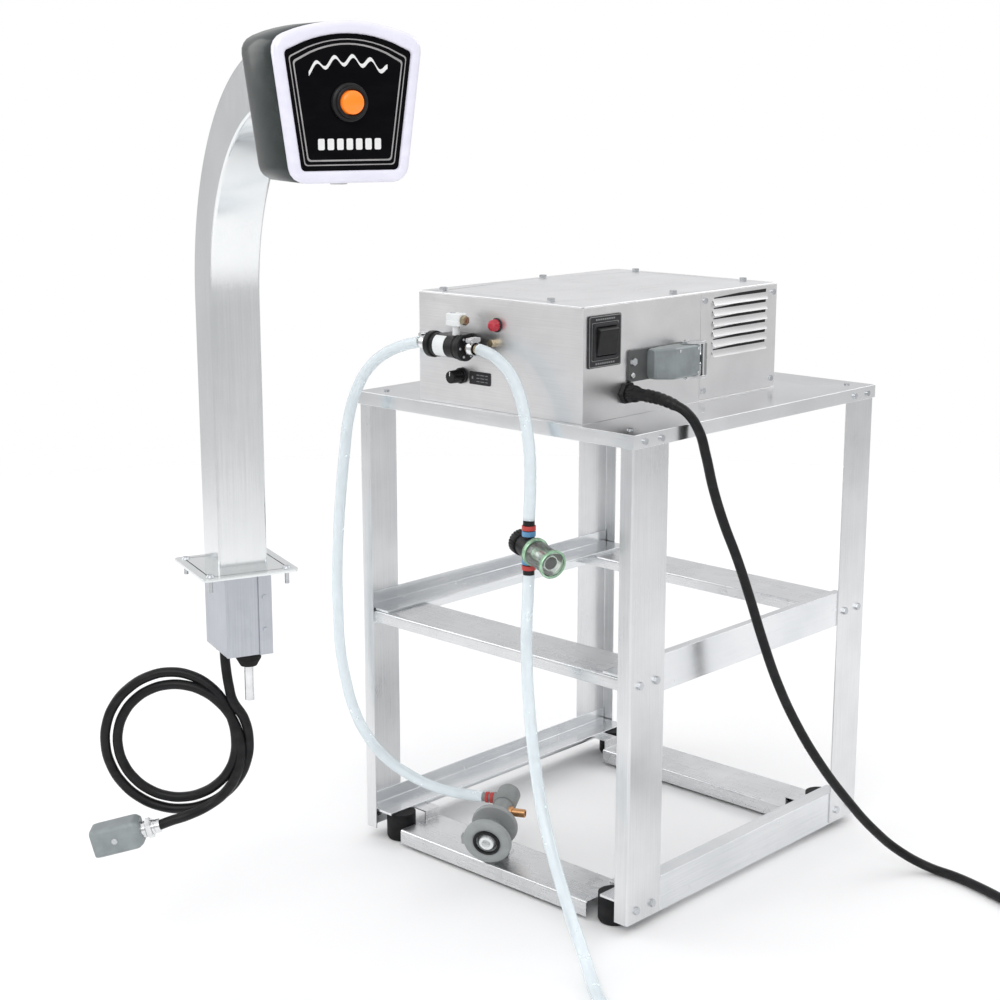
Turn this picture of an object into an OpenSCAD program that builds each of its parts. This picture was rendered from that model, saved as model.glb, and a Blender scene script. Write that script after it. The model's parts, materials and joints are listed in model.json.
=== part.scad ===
// Topping dispenser: a pump unit on an open rack, and a countertop tower with a push-button head.
// Millimetres, +Z up. The rack's front faces -Y. The origin is on the floor, under the middle
// of the rack and the tower together.

/* [Rack] */
// Width of the rack over its posts
rack_w = 420; // [380:1:520]
// Depth of the rack over its posts
rack_d = 458; // [420:1:560]
// Height of the post tops above the floor
rack_h = 560; // [480:1:680]
// Thickness of the rack and case sheet
sheet_t = 1.5; // [1:0.1:2.5]
// Width of a post's wide flange, along the side of the rack
post_wide = 58; // [40:1:70]
// Width of a post's narrow flange, across the front and back
post_narrow = 18; // [14:1:28]
// Height of a side rail's web
rail_h = 42; // [36:1:60]
// Width of a side rail's shelf, which carries a bag box
rail_shelf_w = 40; // [30:1:60]
// Height of the upper shelf above the floor
upper_shelf_z = 297; // [260:1:330]
// Height of the lower shelf above the floor
lower_shelf_z = 37; // [32:1:60]
// Depth of a cross tie, front to back
tie_d = 70; // [50:1:90]
// Diameter of a rubber foot
foot_d = 36; // [28:1:40]
// Distance of a foot's middle from the posts' outer faces, both ways
foot_inset = 38; // [30:1:48]

/* [Pump case] */
// Width of the pump case
case_w = 247; // [220:1:280]
// Depth of the pump case
case_d = 352; // [320:1:400]
// Height of the pump case, lid included
case_h = 125.5; // [118:0.5:160]
// Place of the case's middle on the rack's top, from the rack's middle
case_at = [8.5, -45];
// Depth of the separate louvred panel at the back of the right wall
vent_d = 148; // [110:1:180]
// Length of one louvre
louvre_len = 104; // [60:1:120]
// Number of louvres
louvre_count = 6; // [3:1:7]

/* [Pump] */
// Diameter of the pump body
pump_d = 26; // [24:0.5:32]
// Length of the pump body over its end rings
pump_len = 56; // [48:1:70]
// Distance of the pump body's axis from the case front
pump_reach = 24; // [20:1:34]
// Height of the pump body's axis above the rack's top
pump_z = 71; // [60:1:84]
// Pitch diameter of the two pump gears
gear_pitch_d = 9; // [8:0.5:10]
// Teeth on each pump gear
gear_teeth = 10; // [8:1:12]
// Outer diameter of the hoses
hose_d = 13; // [12:0.5:14]

/* [Tower] */
// Side of the square tower tube
tube_w = 50.8; // [44:0.2:62]
// Wall of the tower tube
tube_wall = 1.6; // [1.2:0.1:3]
// Length of the upright stretch of the tube above the flange
tube_rise = 268; // [220:1:330]
// Radius of the tube's bend, along its middle
tube_bend_r = 215; // [170:1:260]
// Side of the square mounting flange
flange_w = 100; // [90:1:124]
// Thickness of the mounting flange
flange_t = 3; // [2:0.5:6]
// Distance between neighbouring flange screws
flange_pitch = 80; // [72:1:100]
// Diameter of a flange screw hole
flange_hole_d = 5; // [4:0.5:6]
// Width of the dispensing head at its widest
head_w = 130; // [110:1:160]
// Height of the dispensing head
head_h = 128; // [112:1:150]
// Depth of the dispensing head, front to back
head_d = 88; // [74:1:110]
// Wall of the head shell
head_wall = 2.5; // [2:0.1:4]
// Width of the pale ring round the face
bezel_w = 10; // [7:0.5:14]
// Diameter of the push button
button_d = 19; // [15:0.5:23]
// Outer diameter of the round guard of the push button
guard_d = 31; // [28:0.5:36]
// Travel of the push button
button_travel = 3; // [2:0.5:4]
// Diameter of the steel feed line
feed_d = 9.5; // [8:0.1:11]

/* [Hidden] */

$fn = 48;
EPS = 0.01;
FIT = 0.3;            // gap between pieces that only sit side by side
RUN = 0.05;           // radial gap of a running fit
BEND_STEPS = 4;       // facets in a sheet's bend
STEEL = "#c9ccce";
POLISHED = "#dfe2e4";
BLACK = "#202022";
GREY = "#9aa0a5";

// Placement on the floor
rack_at = [-38, 248];
tower_at = [-83, -304, 441];
tower_turn = 70;

module at_rack() translate([rack_at[0], rack_at[1], 0]) children();
module at_case() translate([rack_at[0] + case_at[0], rack_at[1] + case_at[1], rack_h + sheet_t]) children();
module at_tower() translate(tower_at) rotate([0, 0, tower_turn]) children();

// ---- Shared shapes ----

function heading(p, q) = (q - p) / norm(q - p);
function left_of(v) = [-v[1], v[0]];

// One rounded corner of a folded sheet: side 0 is the drawn line, side 1 the line one sheet away
function fold_corner(p, i, t, r, side) =
    let (a = heading(p[i - 1], p[i]), b = heading(p[i], p[i + 1]),
         s = sign(a[0] * b[1] - a[1] * b[0]), turn = acos(a * b),
         outer = s > 0 ? r + t : r, n = left_of(a),
         c = p[i] - a * outer * tan(turn / 2) + n * s * outer,
         radius = outer - side * s * t, start = atan2(n[1], n[0]))
    [for (k = [0 : BEND_STEPS]) let (w = start + s * turn * k / BEND_STEPS) c - s * radius * [cos(w), sin(w)]];

function reversed(list) = [for (i = [len(list) - 1 : -1 : 0]) list[i]];

// Outline of a folded sheet: p is its drawn line and the sheet lies to the left of it
function folded(p, t, r) = let (last = len(p) - 1) concat(
    [p[0]], [for (i = [1 : last - 1]) each fold_corner(p, i, t, r, 0)],
    [p[last], p[last] + t * left_of(heading(p[last - 1], p[last]))],
    [for (i = [last - 1 : -1 : 1]) each reversed(fold_corner(p, i, t, r, 1))],
    [p[0] + t * left_of(heading(p[0], p[1]))]);

// A closed outline with every corner rounded to radius r; its points run anticlockwise
function rounded(p, r) = [for (i = [0 : len(p) - 1])
    let (q = [p[(i + len(p) - 1) % len(p)], p[i], p[(i + 1) % len(p)]])
    each fold_corner(q, 1, 0, r, 0)];

// A square outline with rounded corners, centred
module soft_square(w, d, r) polygon(rounded([[-w / 2, -d / 2], [w / 2, -d / 2], [w / 2, d / 2], [-w / 2, d / 2]], r));

// A box centred in X and Y on its lower face
module slab(w, d, h) translate([-w / 2, -d / 2, 0]) cube([w, d, h]);

// A round bar along +Y, +X or +Z from the origin
module bar_y(d, len) rotate([-90, 0, 0]) cylinder(d = d, h = len);
module bar_x(d, len) rotate([0, 90, 0]) cylinder(d = d, h = len);

// A hexagon-headed screw pointing down, its head resting on z = 0
module screw(across, head, d, len) {
    cylinder(d = across / cos(30), h = head, $fn = 6);
    translate([0, 0, -len]) cylinder(d = d, h = len + EPS);
}

function unit(v) = v / norm(v);

// A round tube swept along the points p; ref is a direction that the route never takes
module swept(p, d, ref, sides = 10) {
    last = len(p) - 1;
    rings = [for (i = [0 : last])
        let (t = unit(p[min(i + 1, last)] - p[max(i - 1, 0)]), u = unit(cross(ref, t)), v = cross(t, u))
        each [for (k = [0 : sides - 1]) p[i] + d / 2 * (u * cos(k * 360 / sides) + v * sin(k * 360 / sides))]];
    walls = [for (i = [0 : last - 1], k = [0 : sides - 1])
        let (a = i * sides + k, b = i * sides + (k + 1) % sides) [a, a + sides, b + sides, b]];
    polyhedron(points = rings, convexity = 8,
               faces = concat([[for (k = [0 : sides - 1]) k]], walls,
                              [[for (k = [sides - 1 : -1 : 0]) last * sides + k]]));
}

// ---- Rack ----

web_x = rack_w / 2 - sheet_t;                // outer face of a rail's web
rail_end = rack_d / 2 - 2 * sheet_t - FIT;   // the rails stop short of the posts' bends
shelf_drop = rail_h - 15;                    // shelf height above the lower edge of the web
post_base = 12;
panel_lip = 14;
tie_front = rack_d / 2 - sheet_t;            // outer face of a tie's lip
tie_half = web_x - sheet_t;
lower_tie_half = rack_w / 2 - foot_inset - foot_d / 2 - 4;
upper_tie_z = upper_shelf_z - 2 * sheet_t;
lower_tie_z = lower_shelf_z - 15;

module both_sides() for (sx = [0, 1]) mirror([sx, 0, 0]) children();
module both_ends() for (sy = [0, 1]) mirror([0, sy, 0]) children();
module each_corner() both_sides() both_ends() children();

module posts() color(STEEL) at_rack() each_corner()
    translate([-rack_w / 2, -rack_d / 2, post_base]) linear_extrude(rack_h - post_base)
        polygon(folded([[0, post_wide], [0, 0], [post_narrow, 0]], sheet_t, sheet_t));

module side_rail(shelf_z) translate([-web_x, -rail_end, shelf_z]) {
    translate([0, 0, -shelf_drop]) cube([sheet_t, 2 * rail_end, rail_h]);
    translate([0, 0, -2 * sheet_t]) cube([rail_shelf_w, 2 * rail_end, 2 * sheet_t]);
}

module side_rails() color(POLISHED) at_rack() both_sides() {
    side_rail(upper_shelf_z);
    side_rail(lower_shelf_z);
}

// A cross tie: a plate with a lip turned down along each long edge, its top at zero
module tie(half, lip) translate([-half, -tie_front, 0]) rotate([90, 0, 90]) linear_extrude(2 * half)
    polygon(folded([[tie_d, -lip], [tie_d, 0], [0, 0], [0, -lip]], sheet_t, sheet_t));

// Upturned ends that hang a lower tie from the rail shelves, clear of the feet
module tie_ear(half) {
    rise = lower_shelf_z - 2 * sheet_t - lower_tie_z;
    translate([half - sheet_t, -tie_front + tie_d - 28, lower_tie_z - EPS]) cube([sheet_t, 24, rise + EPS]);
    translate([half - sheet_t, -tie_front + tie_d - 28, lower_tie_z + rise - sheet_t]) cube([24, 24, sheet_t]);
}

module cross_ties() color(POLISHED) at_rack() both_ends() {
    translate([0, 0, upper_tie_z]) tie(tie_half, 14);
    translate([0, 0, lower_tie_z]) tie(lower_tie_half, 18);
    both_sides() tie_ear(lower_tie_half);
}

module top_panel() color(POLISHED) at_rack() difference() {
    translate([0, 0, rack_h - panel_lip]) slab(rack_w + 2 * sheet_t, rack_d + 2 * sheet_t, panel_lip + sheet_t);
    translate([0, 0, rack_h - panel_lip - 1]) slab(rack_w, rack_d, panel_lip + 1);
}

module rubber_feet() color(BLACK) at_rack() each_corner()
    translate([-rack_w / 2 + foot_inset, -rack_d / 2 + foot_inset - 14, 0]) {
        cylinder(d1 = foot_d - 4, d2 = foot_d, h = 4);
        translate([0, 0, 4]) cylinder(d = foot_d, h = lower_shelf_z - 2 * sheet_t - 4);
    }

// Bolts through the posts' side flanges into the rail webs, and screws through the panel's lips
bolt_inset = [16, 44];

module rack_bolts() color("#8d9296") at_rack() both_sides() both_ends() {
    for (shelf_z = [upper_shelf_z, lower_shelf_z], y = bolt_inset)
        translate([-rack_w / 2, -rack_d / 2 + y, shelf_z - 11]) rotate([0, -90, 0]) rotate([0, 0, 30]) {
            cylinder(d = 9, h = 3, $fn = 6);
            translate([0, 0, -2 * sheet_t - 4]) cylinder(d = 10, h = 4, $fn = 6);
        }
    for (y = bolt_inset) translate([-rack_w / 2 - sheet_t, -rack_d / 2 + y, rack_h - 7]) rotate([0, -90, 0])
        cylinder(d = 7, h = 2);
    translate([-rack_w / 2 + 24, -rack_d / 2 + 22, rack_h + sheet_t]) cylinder(d = 7, h = 1.5);
}

// ---- Pump case ----

half_w = case_w / 2;
half_d = case_d / 2;
wall_h = case_h - sheet_t;                   // the lid lies on the walls
vent_y = half_d - vent_d;                    // seam between the chassis wall and the louvred panel
lid_screws = [[-100, -half_d + 16], [64, -half_d + 16], [-half_w + 12, 22],
              [-half_w + 44, half_d - 16], [half_w - 38, half_d - 16], [half_w - 12, -8]];
screw_d = 4;

knob_at = [-half_w + 68, 34.5];
lamp_at = [-half_w + 122, 96];
plate_at = [-half_w + 96.5, 34];
rocker_at = [-half_d + 34, 87];              // places on the right wall: distance along Y, height
gland_at = [-half_d + 71.5, 26.5];
socket_at = [-half_d + 137, 55];
pump_x = -half_w + 71.5;
drive_z = pump_z - gear_pitch_d / 2 - FIT / 2;

rocker_r = 15.5;
rocker_w = 32;
rocker_frame_w = 54;
rocker_frame_h = 56;
rocker_box_w = rocker_w + 8;
rocker_box_h = 2 * rocker_r + 6;
lamp_body_d = 11;
gland_thread_d = 16;
knob_shaft_d = 6;
drive_shaft_d = 4;

module case_chassis() color(STEEL) at_case() {
    difference() {
        slab(case_w, case_d, wall_h);
        translate([0, 0, sheet_t]) slab(case_w - 2 * sheet_t, case_d - 2 * sheet_t, wall_h);
        // the louvred panel's place
        translate([half_w - 2 * sheet_t, vent_y, sheet_t]) cube([3 * sheet_t, vent_d + 1, wall_h]);
        translate([knob_at[0], -half_d - 1, knob_at[1]]) bar_y(knob_shaft_d + 2, 4);
        translate([lamp_at[0], -half_d - 1, lamp_at[1]]) bar_y(lamp_body_d + 2 * RUN, 4);
        translate([pump_x, -half_d - 1, drive_z]) bar_y(drive_shaft_d + 2, 4);
        translate([half_w - 3, rocker_at[0] - rocker_box_w / 2 - FIT, rocker_at[1] - rocker_box_h / 2 - FIT])
            cube([4, rocker_box_w + 2 * FIT, rocker_box_h + 2 * FIT]);
        translate([half_w - 3, gland_at[0], gland_at[1]]) bar_x(gland_thread_d + 2 * RUN, 4);
    }
    // landing strips behind the louvred panel's two upright edges
    translate([half_w - 2 * sheet_t, vent_y - 10, sheet_t]) cube([sheet_t, 24, wall_h - sheet_t]);
    translate([half_w - 2 * sheet_t, half_d - 16, sheet_t]) cube([sheet_t, 16, wall_h - sheet_t]);
    // tabs that the lid screws into
    for (p = lid_screws) difference() {
        reach = 12;
        side = abs(p[1]) > half_d - 20;
        translate([p[0] - (side ? 9 : reach), p[1] - (side ? reach : 9), wall_h - sheet_t])
            intersection() {
                cube([side ? 18 : 2 * reach, side ? 2 * reach : 18, sheet_t]);
                translate([-p[0] + (side ? 9 : reach), -p[1] + (side ? reach : 9), 0])
                    slab(case_w - 2 * sheet_t, case_d - 2 * sheet_t, sheet_t);
            }
        translate([p[0], p[1], 0]) cylinder(d = screw_d + 2 * FIT, h = case_h);
    }
}

module case_lid() color(POLISHED) at_case() difference() {
    translate([0, 0, wall_h]) slab(case_w, case_d, sheet_t);
    for (p = lid_screws) translate([p[0], p[1], 0]) cylinder(d = screw_d + 2 * FIT, h = case_h + 1);
    for (sx = [-1, 1], sy = [-1, 1]) translate([sx * half_w, sy * half_d, wall_h - 1]) slab(5, 5, 4);
}

louvre_pitch = 11.8;
louvre_z = 56;
louvre_drop = 7;

// A louvre's hood: a wedge that stands out of the panel, open along its lower edge
module louvre_hood(len) rotate([90, 0, 0]) translate([0, 0, -len / 2]) linear_extrude(len)
    polygon([[-EPS, 0], [3.5, -louvre_drop], [2.7, -louvre_drop], [-EPS, -1.2]]);

module vent_panel() color(STEEL) at_case() {
    length = vent_d - FIT;
    middle = vent_y + FIT + length / 2;
    difference() {
        translate([half_w - sheet_t, vent_y + FIT, sheet_t + FIT]) cube([sheet_t, length, wall_h - sheet_t - FIT]);
        for (k = [0 : louvre_count - 1])
            translate([half_w - sheet_t - 1, middle - louvre_len / 2, louvre_z + k * louvre_pitch - 3.5])
                cube([sheet_t + 2, louvre_len, 3]);
    }
    for (k = [0 : louvre_count - 1]) translate([half_w, middle, louvre_z + k * louvre_pitch])
        intersection() {
            louvre_hood(louvre_len);
            translate([0, 0, -8]) slab(20, louvre_len, 10);
        }
}

module case_screws() color("#8d9296") at_case() {
    for (p = lid_screws) translate([p[0], p[1], case_h]) screw(8, 4, screw_d, 9);
    for (y = [vent_y + 7, half_d - 8], z = [12, wall_h - 9])
        translate([half_w, y, z]) rotate([0, 90, 0]) cylinder(d = 7, h = 2);
    translate([half_w + socket_flange_t, socket_at[0] - socket_len / 2 - 26, socket_at[1] + 5]) rotate([0, 90, 0])
        cylinder(d = 9, h = 4, $fn = 6);
}

rocker_pin_d = 3;

module rocker_frame() color(BLACK) at_case() translate([half_w, rocker_at[0], rocker_at[1]]) {
    depth = 24;
    difference() {
        union() {
            rotate([90, 0, 90]) linear_extrude(2) soft_square(rocker_frame_w, rocker_frame_h, 2);
            translate([0, -rocker_box_w / 2, -rocker_box_h / 2]) cube([4, rocker_box_w, rocker_box_h]);
            translate([-depth, -rocker_box_w / 2, -rocker_box_h / 2]) cube([depth + EPS, rocker_box_w, rocker_box_h]);
        }
        translate([-depth + 2, -rocker_w / 2 - FIT, -rocker_r - FIT])
            cube([depth + 10, rocker_w + 2 * FIT, 2 * (rocker_r + FIT)]);
    }
    translate([0, -rocker_w / 2 - 1, 0]) bar_y(rocker_pin_d, rocker_w + 2);
}

rocker_tilt = 10;

module power_rocker() color("#1a1a1c") at_case() translate([half_w, rocker_at[0], rocker_at[1]])
    rotate([0, rocker_tilt, 0]) difference() {
        intersection() {
            translate([0, -rocker_w / 2, 0]) bar_y(2 * rocker_r, rocker_w);
            translate([-9, -rocker_w, -rocker_r - 1]) cube([16, 2 * rocker_w, 2 * rocker_r + 2]);
        }
        translate([0, -rocker_w, 0]) bar_y(rocker_pin_d + 2 * RUN, 2 * rocker_w);
    }

module signal_lamp() color("#b3122a") at_case() translate([lamp_at[0], -half_d, lamp_at[1]]) rotate([90, 0, 0]) {
    cylinder(d = 16, h = 1.5);
    cylinder(d = 13, h = 5);
    translate([0, 0, 4.5]) intersection() {
        sphere(d = 13);
        slab(14, 14, 7);
    }
    translate([0, 0, -16]) cylinder(d = lamp_body_d, h = 16 + EPS);
}

knob_d = 15;
knob_len = 20;

module control_knob() color(BLACK) at_case() translate([knob_at[0], -half_d, knob_at[1]]) rotate([90, 0, 0])
    difference() {
        union() {
            translate([0, 0, 1]) cylinder(d = knob_d + 3, h = 3);
            translate([0, 0, 1]) cylinder(d = knob_d, h = knob_len - 1);
            translate([0, 0, -12]) cylinder(d = knob_shaft_d, h = 14);
        }
        for (k = [0 : 11]) rotate([0, 0, k * 30 + 15]) translate([knob_d / 2 + 0.5, 0, 4.5]) cylinder(d = 2, h = knob_len);
        translate([-0.6, 1, knob_len - 1]) cube([1.2, knob_d / 2, 2]);
    }

module label_plate() color("#2b2b2e") at_case() translate([plate_at[0], -half_d, plate_at[1]]) rotate([90, 0, 0])
    linear_extrude(1) soft_square(32, 14.5, 1);

gland_len = 30;

module cord_gland() color(BLACK) at_case() translate([half_w, gland_at[0], gland_at[1]]) rotate([0, 90, 0]) {
    cylinder(d = 22, h = 6, $fn = 6);
    translate([0, 0, 6]) cylinder(d = 19, h = 8);
    translate([0, 0, 14]) cylinder(d1 = 19, d2 = 15, h = 6);
    translate([0, 0, 20]) cylinder(d1 = 15, d2 = 12.5, h = gland_len - 20);
    translate([0, 0, -10]) cylinder(d = gland_thread_d, h = 10 + EPS);
    translate([0, 0, -sheet_t - 5]) cylinder(d = 22, h = 5, $fn = 6);
}

// Surface socket for the tower cable: flange, hood and a round threaded mouth that faces +Y
socket_len = 64;
socket_h = 35;
socket_out = 28;
socket_flange_t = 3;
socket_flange_reach = 31;                    // how far the flange runs on in front of the hood
mouth_d = 18;
mouth_bore = 12;
mouth_x = 15;
lever_pin_d = 5;
lever_setback = 10;                          // pins behind the hood's end

module socket_housing() color(GREY) at_case() translate([half_w, socket_at[0], socket_at[1]]) {
    difference() {
        union() {
            translate([0, -socket_len / 2 - socket_flange_reach, -socket_h / 2])
                cube([socket_flange_t, socket_len + socket_flange_reach + 6, socket_h]);
            translate([socket_flange_t - EPS, 0, 0]) rotate([90, 0, 90])
                linear_extrude(socket_out - socket_flange_t) soft_square(socket_len, socket_h, 5);
            translate([mouth_x, socket_len / 2 - 1, 0]) bar_y(mouth_d, 19);
        }
        translate([mouth_x, socket_len / 2 - 20, 0]) bar_y(mouth_bore, 60);
    }
    for (s = [0, 1]) mirror([0, 0, s]) translate([mouth_x, socket_len / 2 - lever_setback, socket_h / 2 - EPS])
        cylinder(d = lever_pin_d, h = 5);
}

lever_arm = 20;
lever_reach = 14;                            // the grip bar stands out past the mouth

module locking_lever() color("#b9bdc0") at_case()
    translate([half_w + mouth_x, socket_at[0] + socket_len / 2 - lever_setback, socket_at[1]]) {
        for (s = [0, 1]) mirror([0, 0, s]) translate([0, 0, socket_h / 2 + FIT]) difference() {
            translate([-6, -6, 0]) cube([6 + lever_reach, lever_arm + 6, 3]);
            translate([0, 0, -1]) cylinder(d = lever_pin_d + 2 * RUN, h = 5);
        }
        translate([lever_reach - 3, lever_arm - 5, -socket_h / 2 - FIT - 1]) cube([3, 5, socket_h + 2 * FIT + 2]);
    }

// ---- Pump ----

gear_addendum = 0.65;
gear_dedendum = 0.95;
gear_w = 10;
gear_gap = gear_pitch_d + FIT;               // distance between the gears' axes
ring_d = pump_d + 4;
barb_len = 18;
port_d = 7;
pump_y = -half_d - pump_reach;
idler_pin_d = 3;

// A gear outline with straight-sided teeth, narrow enough to turn in mesh with its twin
module gear_outline(turn) {
    pitch = gear_pitch_d / 2;
    step = 360 / gear_teeth;
    root = pitch - gear_dedendum;
    tip = pitch + gear_addendum;
    polygon([for (k = [0 : gear_teeth - 1]) each
        [for (q = [[-0.30, root], [-0.10, tip], [0.10, tip], [0.30, root]])
            let (w = turn + step * (k + q[0])) q[1] * [cos(w), sin(w)]]]);
}

module pump_housing() color(BLACK) at_case() difference() {
    union() {
        translate([pump_x - pump_len / 2, pump_y, pump_z]) bar_x(pump_d, pump_len);
        for (s = [-1, 1]) translate([pump_x + s * (pump_len / 2 - 4) - 4, pump_y, pump_z]) bar_x(ring_d, 8);
        translate([pump_x - 14, pump_y, pump_z - pump_d / 2]) cube([28, pump_reach, pump_d]);
    }
    translate([pump_x - pump_len, pump_y, pump_z]) bar_x(port_d, 2 * pump_len);
    for (s = [-1, 1]) translate([pump_x, pump_y - gear_w / 2 - FIT, pump_z + s * gear_gap / 2])
        bar_y(gear_pitch_d + 2 * gear_addendum + 2 * FIT, gear_w + 2 * FIT);
    translate([pump_x, pump_y - gear_w / 2 - 2, drive_z]) bar_y(drive_shaft_d + 2 * RUN, 2 * pump_reach);
    translate([pump_x, pump_y - gear_w / 2 - 2, pump_z + gear_gap / 2]) bar_y(idler_pin_d + 2 * RUN, gear_w + 4);
}

motor_d = 46;
motor_len = 84;
rotor_d = 28;

module drive_gear() color("#b7bbbe") at_case() translate([pump_x, pump_y, drive_z]) {
    translate([0, -gear_w / 2, 0]) rotate([-90, 0, 0]) linear_extrude(gear_w) gear_outline(0);
    translate([0, -gear_w / 2 - 1.5, 0]) bar_y(drive_shaft_d, gear_w + 3 + pump_reach + motor_len - 10);
    translate([0, pump_reach + 16, 0]) bar_y(rotor_d, motor_len - 32);
}

module idler_gear() color("#b7bbbe") at_case() translate([pump_x, pump_y, pump_z + gear_gap / 2]) {
    translate([0, -gear_w / 2, 0]) rotate([-90, 0, 0]) linear_extrude(gear_w) gear_outline(180 / gear_teeth);
    translate([0, -gear_w / 2 - 1.5, 0]) bar_y(idler_pin_d, gear_w + 3);
}

module drive_motor() color("#55585c") at_case() translate([pump_x, -half_d + sheet_t, drive_z]) difference() {
    union() {
        bar_y(motor_d, motor_len);
        // foot down to the case floor
        translate([-15, motor_len / 2, sheet_t - drive_z]) cube([30, 30, drive_z - 10]);
    }
    translate([0, -1, 0]) bar_y(drive_shaft_d + 2 * RUN, motor_len);
    translate([0, 12, 0]) bar_y(rotor_d + 2, motor_len - 24);
}

module pressure_valve() color("#e8e8e6") at_case() {
    block_z = pump_z + 23;
    translate([pump_x + 1, pump_y - 7, block_z]) cube([21, 14, 14]);
    translate([pump_x + 22 - EPS, pump_y, block_z + 7]) rotate([0, 90, 0]) cylinder(d = 11, h = 6, $fn = 6);
    translate([pump_x + 7, pump_y - 4, pump_z + pump_d / 2]) cube([11, 8, block_z - pump_z - pump_d / 2 + EPS]);
}

// Barbed tails: the hoses push over them up to the end rings
module barb() {
    bar_x(hose_d - 4, barb_len);
    for (k = [0 : 2]) translate([barb_len - 4 - 5 * k, 0, 0]) rotate([0, 90, 0]) cylinder(d1 = hose_d - 2.5, d2 = hose_d - 4, h = 4);
}

module hose_barbs() color("#b08d4a") at_case() {
    for (s = [0, 1]) translate([pump_x, pump_y, pump_z]) mirror([s, 0, 0])
        translate([pump_len / 2, 0, 0]) barb();
    translate([-half_w + 118, -half_d, 76]) rotate([90, 0, 0]) cylinder(d = 9, h = 7, $fn = 6);
}

clamp_w = 8;

module worm_clamp() {
    difference() {
        bar_x(hose_d + 3, clamp_w);
        translate([-1, 0, 0]) bar_x(hose_d + 1, clamp_w + 2);
    }
    translate([0, -4, hose_d / 2 + 0.6]) cube([clamp_w, 12, 5]);
    translate([clamp_w / 2, -9, hose_d / 2 + 3.4]) bar_y(5, 6);
}

module worm_clamps() color("#a9adb0") at_case() for (s = [0, 1])
    translate([pump_x, pump_y, pump_z]) mirror([s, 0, 0]) translate([pump_len / 2 + 5, 0, 0]) worm_clamp();

fan_w = 80;
fan_t = 25;
fan_at = [half_w - sheet_t - fan_t, half_d - vent_d / 2, 60];
fan_pin_d = 6;

module fan_frame() color(BLACK) at_case() translate(fan_at) {
    difference() {
        translate([0, -fan_w / 2, -fan_w / 2]) cube([fan_t, fan_w, fan_w]);
        translate([-1, 0, 0]) bar_x(fan_w - 4, fan_t + 2);
    }
    for (w = [0 : 90 : 270]) rotate([w + 45, 0, 0]) translate([0, -2, 10]) cube([2.5, 4, fan_w / 2 - 10]);
    bar_x(30, 2.5);
    bar_x(fan_pin_d, fan_t - 4);
}

module fan_rotor() color("#303236") at_case() translate(fan_at) difference() {
    union() {
        translate([4, 0, 0]) bar_x(30, fan_t - 7);
        for (k = [0 : 6]) rotate([k * 360 / 7, 0, 0]) translate([fan_t / 2 + 0.5, 0, 14]) rotate([0, 0, 38])
            translate([-8, -0.8, 0]) cube([16, 1.6, fan_w / 2 - 17.5]);
    }
    translate([0, 0, 0]) bar_x(fan_pin_d + 2 * RUN, fan_t);
}

module control_board() color("#2e6b46") at_case() {
    translate([28, -20, 0]) {
        translate([0, 0, 10]) slab(110, 90, 1.6);
        for (sx = [-1, 1], sy = [-1, 1]) translate([sx * 48, sy * 38, sheet_t]) cylinder(d = 7, h = 10 - sheet_t + EPS);
        translate([-22, 8, 11.6 - EPS]) slab(44, 40, 34);
        translate([24, 20, 11.6 - EPS]) cylinder(d = 18, h = 26);
        translate([26, -20, 11.6 - EPS]) slab(36, 14, 14);
    }
    // body of the rotary control behind the knob
    translate([knob_at[0], -half_d + sheet_t, knob_at[1]]) difference() {
        bar_y(16, 14);
        translate([0, -1, 0]) bar_y(knob_shaft_d + 2 * RUN, 13);
    }
}

// ---- Bag connector on the front lower tie ----

connector_at = [-38, 18, 52];
connector_turn = 27;
connector_tilt = 14;
disc_d = 58;
neck_d = 24;
disc_gap = 32;                               // from the front disc's middle to the rear disc's
elbow_back = 84;                             // from the front disc's middle to the elbow's middle
elbow_tail = 30;
collar_travel = 8;
collar_bore = neck_d + 2 * RUN;

module at_connector() translate(connector_at) rotate([0, 0, connector_turn]) rotate([90 + connector_tilt, 0, 0]) children();

module bag_connector_body() color(GREY) at_connector() {
    translate([0, 0, -elbow_back + 12]) cylinder(d = neck_d, h = elbow_back - 16);
    translate([0, 0, -disc_gap - 3]) cylinder(d = disc_d - 2, h = 6);
    translate([0, 0, -elbow_back - 14]) cylinder(d = 28, h = 28);
    translate([-elbow_tail, 0, -elbow_back]) bar_x(hose_d - 2, elbow_tail);
    translate([0, 0, -elbow_back + 24]) bar_x(10, 30);
    translate([0, 0, -EPS - 5]) cylinder(d = neck_d - 6, h = 11);
}

module bag_connector_collar() color("#b4b8ba") at_connector() difference() {
    union() {
        translate([0, 0, -4]) cylinder(d = disc_d, h = 8);
        translate([0, 0, -12]) cylinder(d = neck_d + 10, h = 9);
        translate([-disc_d / 2 - 2, -6, -4]) cube([6, 12, 8]);
    }
    translate([0, 0, -13]) cylinder(d = collar_bore, h = 20);
}

// A notched plate that stands on the tie and carries the neck between the two discs
module connector_cradle() color(STEEL) {
    intersection() {
        at_connector() translate([0, 0, 6 - disc_gap]) difference() {
            translate([-18, -50, 0]) cube([36, 46, 2]);
            cylinder(d = neck_d + FIT, h = 20, center = true);
        }
        translate([connector_at[0] - 60, connector_at[1] - 40, lower_tie_z]) cube([120, 120, 60]);
    }
    translate([connector_at[0] - 12, connector_at[1] + 24, lower_tie_z]) rotate([0, 0, connector_turn])
        translate([-18, 0, 0]) cube([36, 22, 2]);
}

// ---- Hoses and strainer ----

strainer_at = [55, -14, 428];
strainer_turn = 73;
strainer_tilt = 9;
port_reach = 30;
bowl_d = 32;
bowl_len = 42;
bowl_wall = 2;

module at_strainer() translate(strainer_at) rotate([0, 0, strainer_turn]) rotate([90 + strainer_tilt, 0, 0]) children();

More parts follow.
